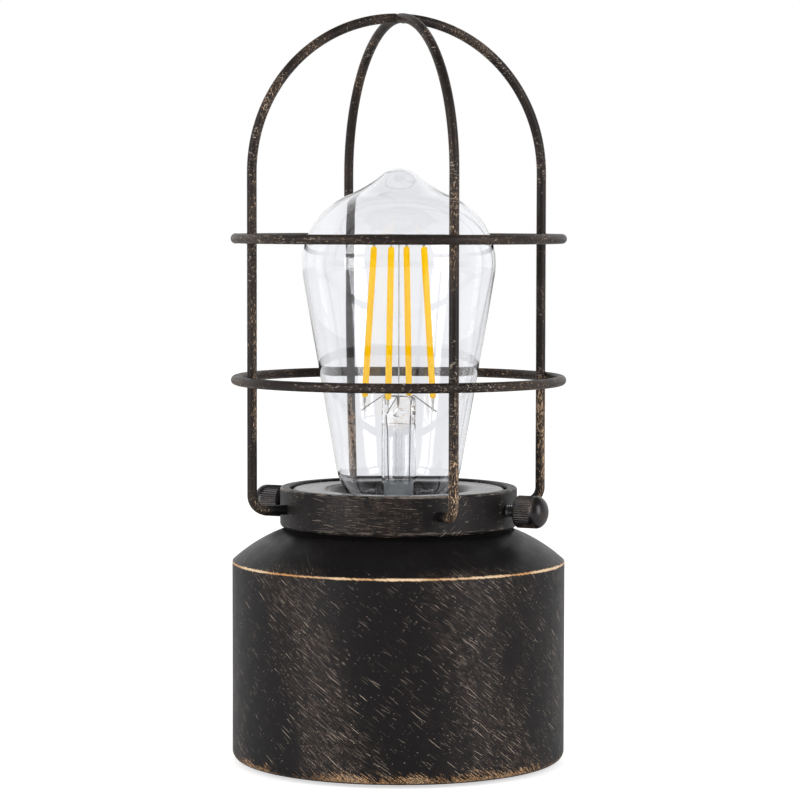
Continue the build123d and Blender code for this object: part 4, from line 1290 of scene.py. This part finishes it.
class LAMP_OT_dimmer(Operator):
    """Finishes the touch dimmer, its leads and the lamp pipe with its nuts"""
    bl_idname = "touch_lamp.dimmer"
    bl_label = "Touch dimmer"

    def execute(self, context):
        finish_nodes(plain("Dimmer plastic", (0.62, 0.61, 0.58), (0.54, 0.53, 0.50), 0.46, 0.0005),
                     "dimmer_case", "dimmer_lid")
        finish_nodes(plain("Circuit board", (0.02, 0.10, 0.035), (0.014, 0.075, 0.025), 0.4, 0.0007),
                     "dimmer_board")
        finish_nodes(plain("Component black", (0.014, 0.014, 0.014), (0.026, 0.026, 0.026), 0.42, 0.0006),
                     "dimmer_components")
        for node, tint, shade in (("live_lead", (0.02, 0.02, 0.02), (0.03, 0.03, 0.03)),
                                  ("neutral_lead", (0.75, 0.74, 0.70), (0.66, 0.65, 0.61)),
                                  ("touch_lead", (0.72, 0.50, 0.05), (0.62, 0.42, 0.04))):
            finish_nodes(plain(f"Insulation {node}", tint, shade, 0.42, 0.0007), node)
        finish_nodes(plain("Zinc fittings", (0.60, 0.60, 0.60), (0.46, 0.46, 0.47), 0.32, 0.0009, 1.0),
                     "lamp_pipe", "pipe_nuts", "pipe_washers")
        finish_nodes(plain("Tinned brass", (0.66, 0.60, 0.46), (0.54, 0.48, 0.36), 0.3, 0.0007, 1.0),
                     "touch_terminal")
        return {"FINISHED"}


class LAMP_OT_stage(Operator):
    """Lays the floor and sets the lights and the camera"""
    bl_idname = "touch_lamp.stage"
    bl_label = "Stage"

    def execute(self, context):
        stage = context.scene.lamp_stage
        self.floor(stage)
        self.world(context.scene, stage)
        self.lamps(stage)
        self.camera(context.scene, stage)
        context.scene.view_settings.view_transform = "Standard"
        return {"FINISHED"}

    def floor(self, stage):
        """A wide pale floor that the camera sees as white outside the lamp's shadow."""
        half = stage.floor
        mesh = bpy.data.meshes.new("floor")
        corners = [(-half, -half, 0), (half, -half, 0), (half, half, 0), (-half, half, 0)]
        mesh.from_pydata(corners, [], [(0, 1, 2, 3)])
        floor = add_object("floor", mesh)
        material, tree, shader, position = new_material("Pale floor")
        tone = tree.cloud(position, 3.0, 3.0)
        from_camera, through_glass = tree.put("ShaderNodeLightPath", None,
                                              ("Is Camera Ray", "Is Transmission Ray"))
        bent = tree.mixed(through_glass, (0.0, 0.0, 0.0), [stage.glass_glow] * 3)
        tree.feed(shader, {
            "Base Color": tree.mixed(tone, stage.pale, [0.97 * c for c in stage.pale]),
            "Roughness": 0.9, "Specular IOR Level": 0.0, "Emission Strength": 1.0,
            "Emission Color": tree.mixed(from_camera, bent, [stage.floor_glow] * 3)})
        mesh.materials.append(material)

    def world(self, scene, stage):
        """White for the camera; glass and paint see it bright behind the lamp and dark before it."""
        world = bpy.data.worlds.new("Studio")
        world.use_nodes = True
        tree = Tree(world.node_tree)
        from_camera, from_shine, through_glass, depth = tree.put("ShaderNodeLightPath", None, (
            "Is Camera Ray", "Is Glossy Ray", "Is Transmission Ray", "Diffuse Depth"))
        way = tree.put("ShaderNodeTexCoord", None, "Generated")
        back = (-math.sin(stage.azimuth), math.cos(stage.azimuth), 0.0)
        behind = tree.vector("DOT_PRODUCT", way, back, output="Value").ramp(-0.25, 0.45)
        around = behind * tree.height(way).ramp(0.45, 0.85, 1.0, 0.0)
        shiny = from_shine * around.ramp(0.0, 1.0, stage.shade, 1.0)
        matt = (1.0 - from_shine.most(through_glass)) * stage.fill
        lit_inside = depth.step("GREATER_THAN", 0.5)
        bent = through_glass * around.ramp(0.0, 1.0, stage.glass_shade, 1.0).most(lit_inside)
        tree.feed(world.node_tree.nodes["Background"].inputs, {
            "Color": (1.0, 1.0, 1.0, 1.0), "Strength": from_camera.most(bent).most(shiny + matt)})
        scene.world = world

    def lamps(self, stage):
        """Two tall soft lamps, one to each side of the camera."""
        for name, spot in (("left soft lamp", stage.key_left), ("right soft lamp", stage.key_right)):
            light = bpy.data.lights.new(name, "AREA")
            light.shape = "RECTANGLE"
            light.size = stage.key_width
            light.size_y = stage.key_height
            light.energy = stage.key
            made = add_object(name, light)
            made.location = spot
            made.rotation_euler = (UP * stage.aim - Vector(spot)).to_track_quat("-Z", "Y").to_euler()

    def camera(self, scene, stage):
        """The photograph's viewpoint."""
        side, fall = math.sin(stage.yaw), math.sin(stage.pitch)
        ahead, level = math.cos(stage.yaw), math.cos(stage.pitch)
        right = Vector((ahead, -side, 0))
        up = Vector((fall * side, fall * ahead, level))
        way = Vector((level * side, level * ahead, -fall))
        c, s = math.cos(stage.roll), math.sin(stage.roll)
        right, up = c * right + s * up, c * up - s * right
        around = Matrix.Rotation(stage.azimuth, 3, "Z")
        axes = around @ Matrix((right, up, -way)).transposed()
        data = bpy.data.cameras.new("camera")
        data.sensor_fit = "HORIZONTAL"
        data.sensor_width = 36.0
        data.lens = stage.lens
        data.clip_start, data.clip_end = 0.05, 50.0
        camera = add_object("camera", data)
        place = around @ Vector((0, -stage.distance, stage.height))
        camera.matrix_world = Matrix.Translation(place) @ axes.to_4x4()
        scene.camera = camera


OPERATORS = (LAMP_OT_base, LAMP_OT_collar, LAMP_OT_cage, LAMP_OT_thumb_screws, LAMP_OT_bulb_glass,
             LAMP_OT_bulb_stem, LAMP_OT_filaments, LAMP_OT_bulb_cap, LAMP_OT_lampholder, LAMP_OT_underside,
             LAMP_OT_dimmer, LAMP_OT_stage)


class LAMP_PT_panel(Panel):
    """Lists the lamp's pieces"""
    bl_idname = "LAMP_PT_panel"
    bl_label = "Touch lamp"
    bl_space_type = "VIEW_3D"
    bl_region_type = "UI"
    bl_category = "Touch lamp"

    def draw(self, context):
        for operator in OPERATORS:
            self.layout.operator(operator.bl_idname)
        for group in GROUPS:
            values = getattr(context.scene, group)
            box = self.layout.box()
            for key in values.bl_rna.properties.keys():
                if key not in ("rna_type", "name"):
                    box.prop(values, key)


GROUPS = {"lamp_paint": PaintFinish, "lamp_bulb": BulbSizes, "lamp_cage": CageSizes,
          "lamp_stage": StageSizes}
CLASSES = (*GROUPS.values(), *OPERATORS, LAMP_PT_panel)


def register():
    """Registers the classes and the scene's settings."""
    for made in CLASSES:
        bpy.utils.register_class(made)
    for name, made in GROUPS.items():
        setattr(bpy.types.Scene, name, PointerProperty(type=made))


def unregister():
    """Takes the settings and the classes out again."""
    for name in GROUPS:
        delattr(bpy.types.Scene, name)
    for made in reversed(CLASSES):
        bpy.utils.unregister_class(made)


def main():
    """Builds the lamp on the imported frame."""
    register()
    for operator in OPERATORS:
        family, name = operator.bl_idname.split(".")
        getattr(getattr(bpy.ops, family), name)()


if __name__ == "__main__":
    main()
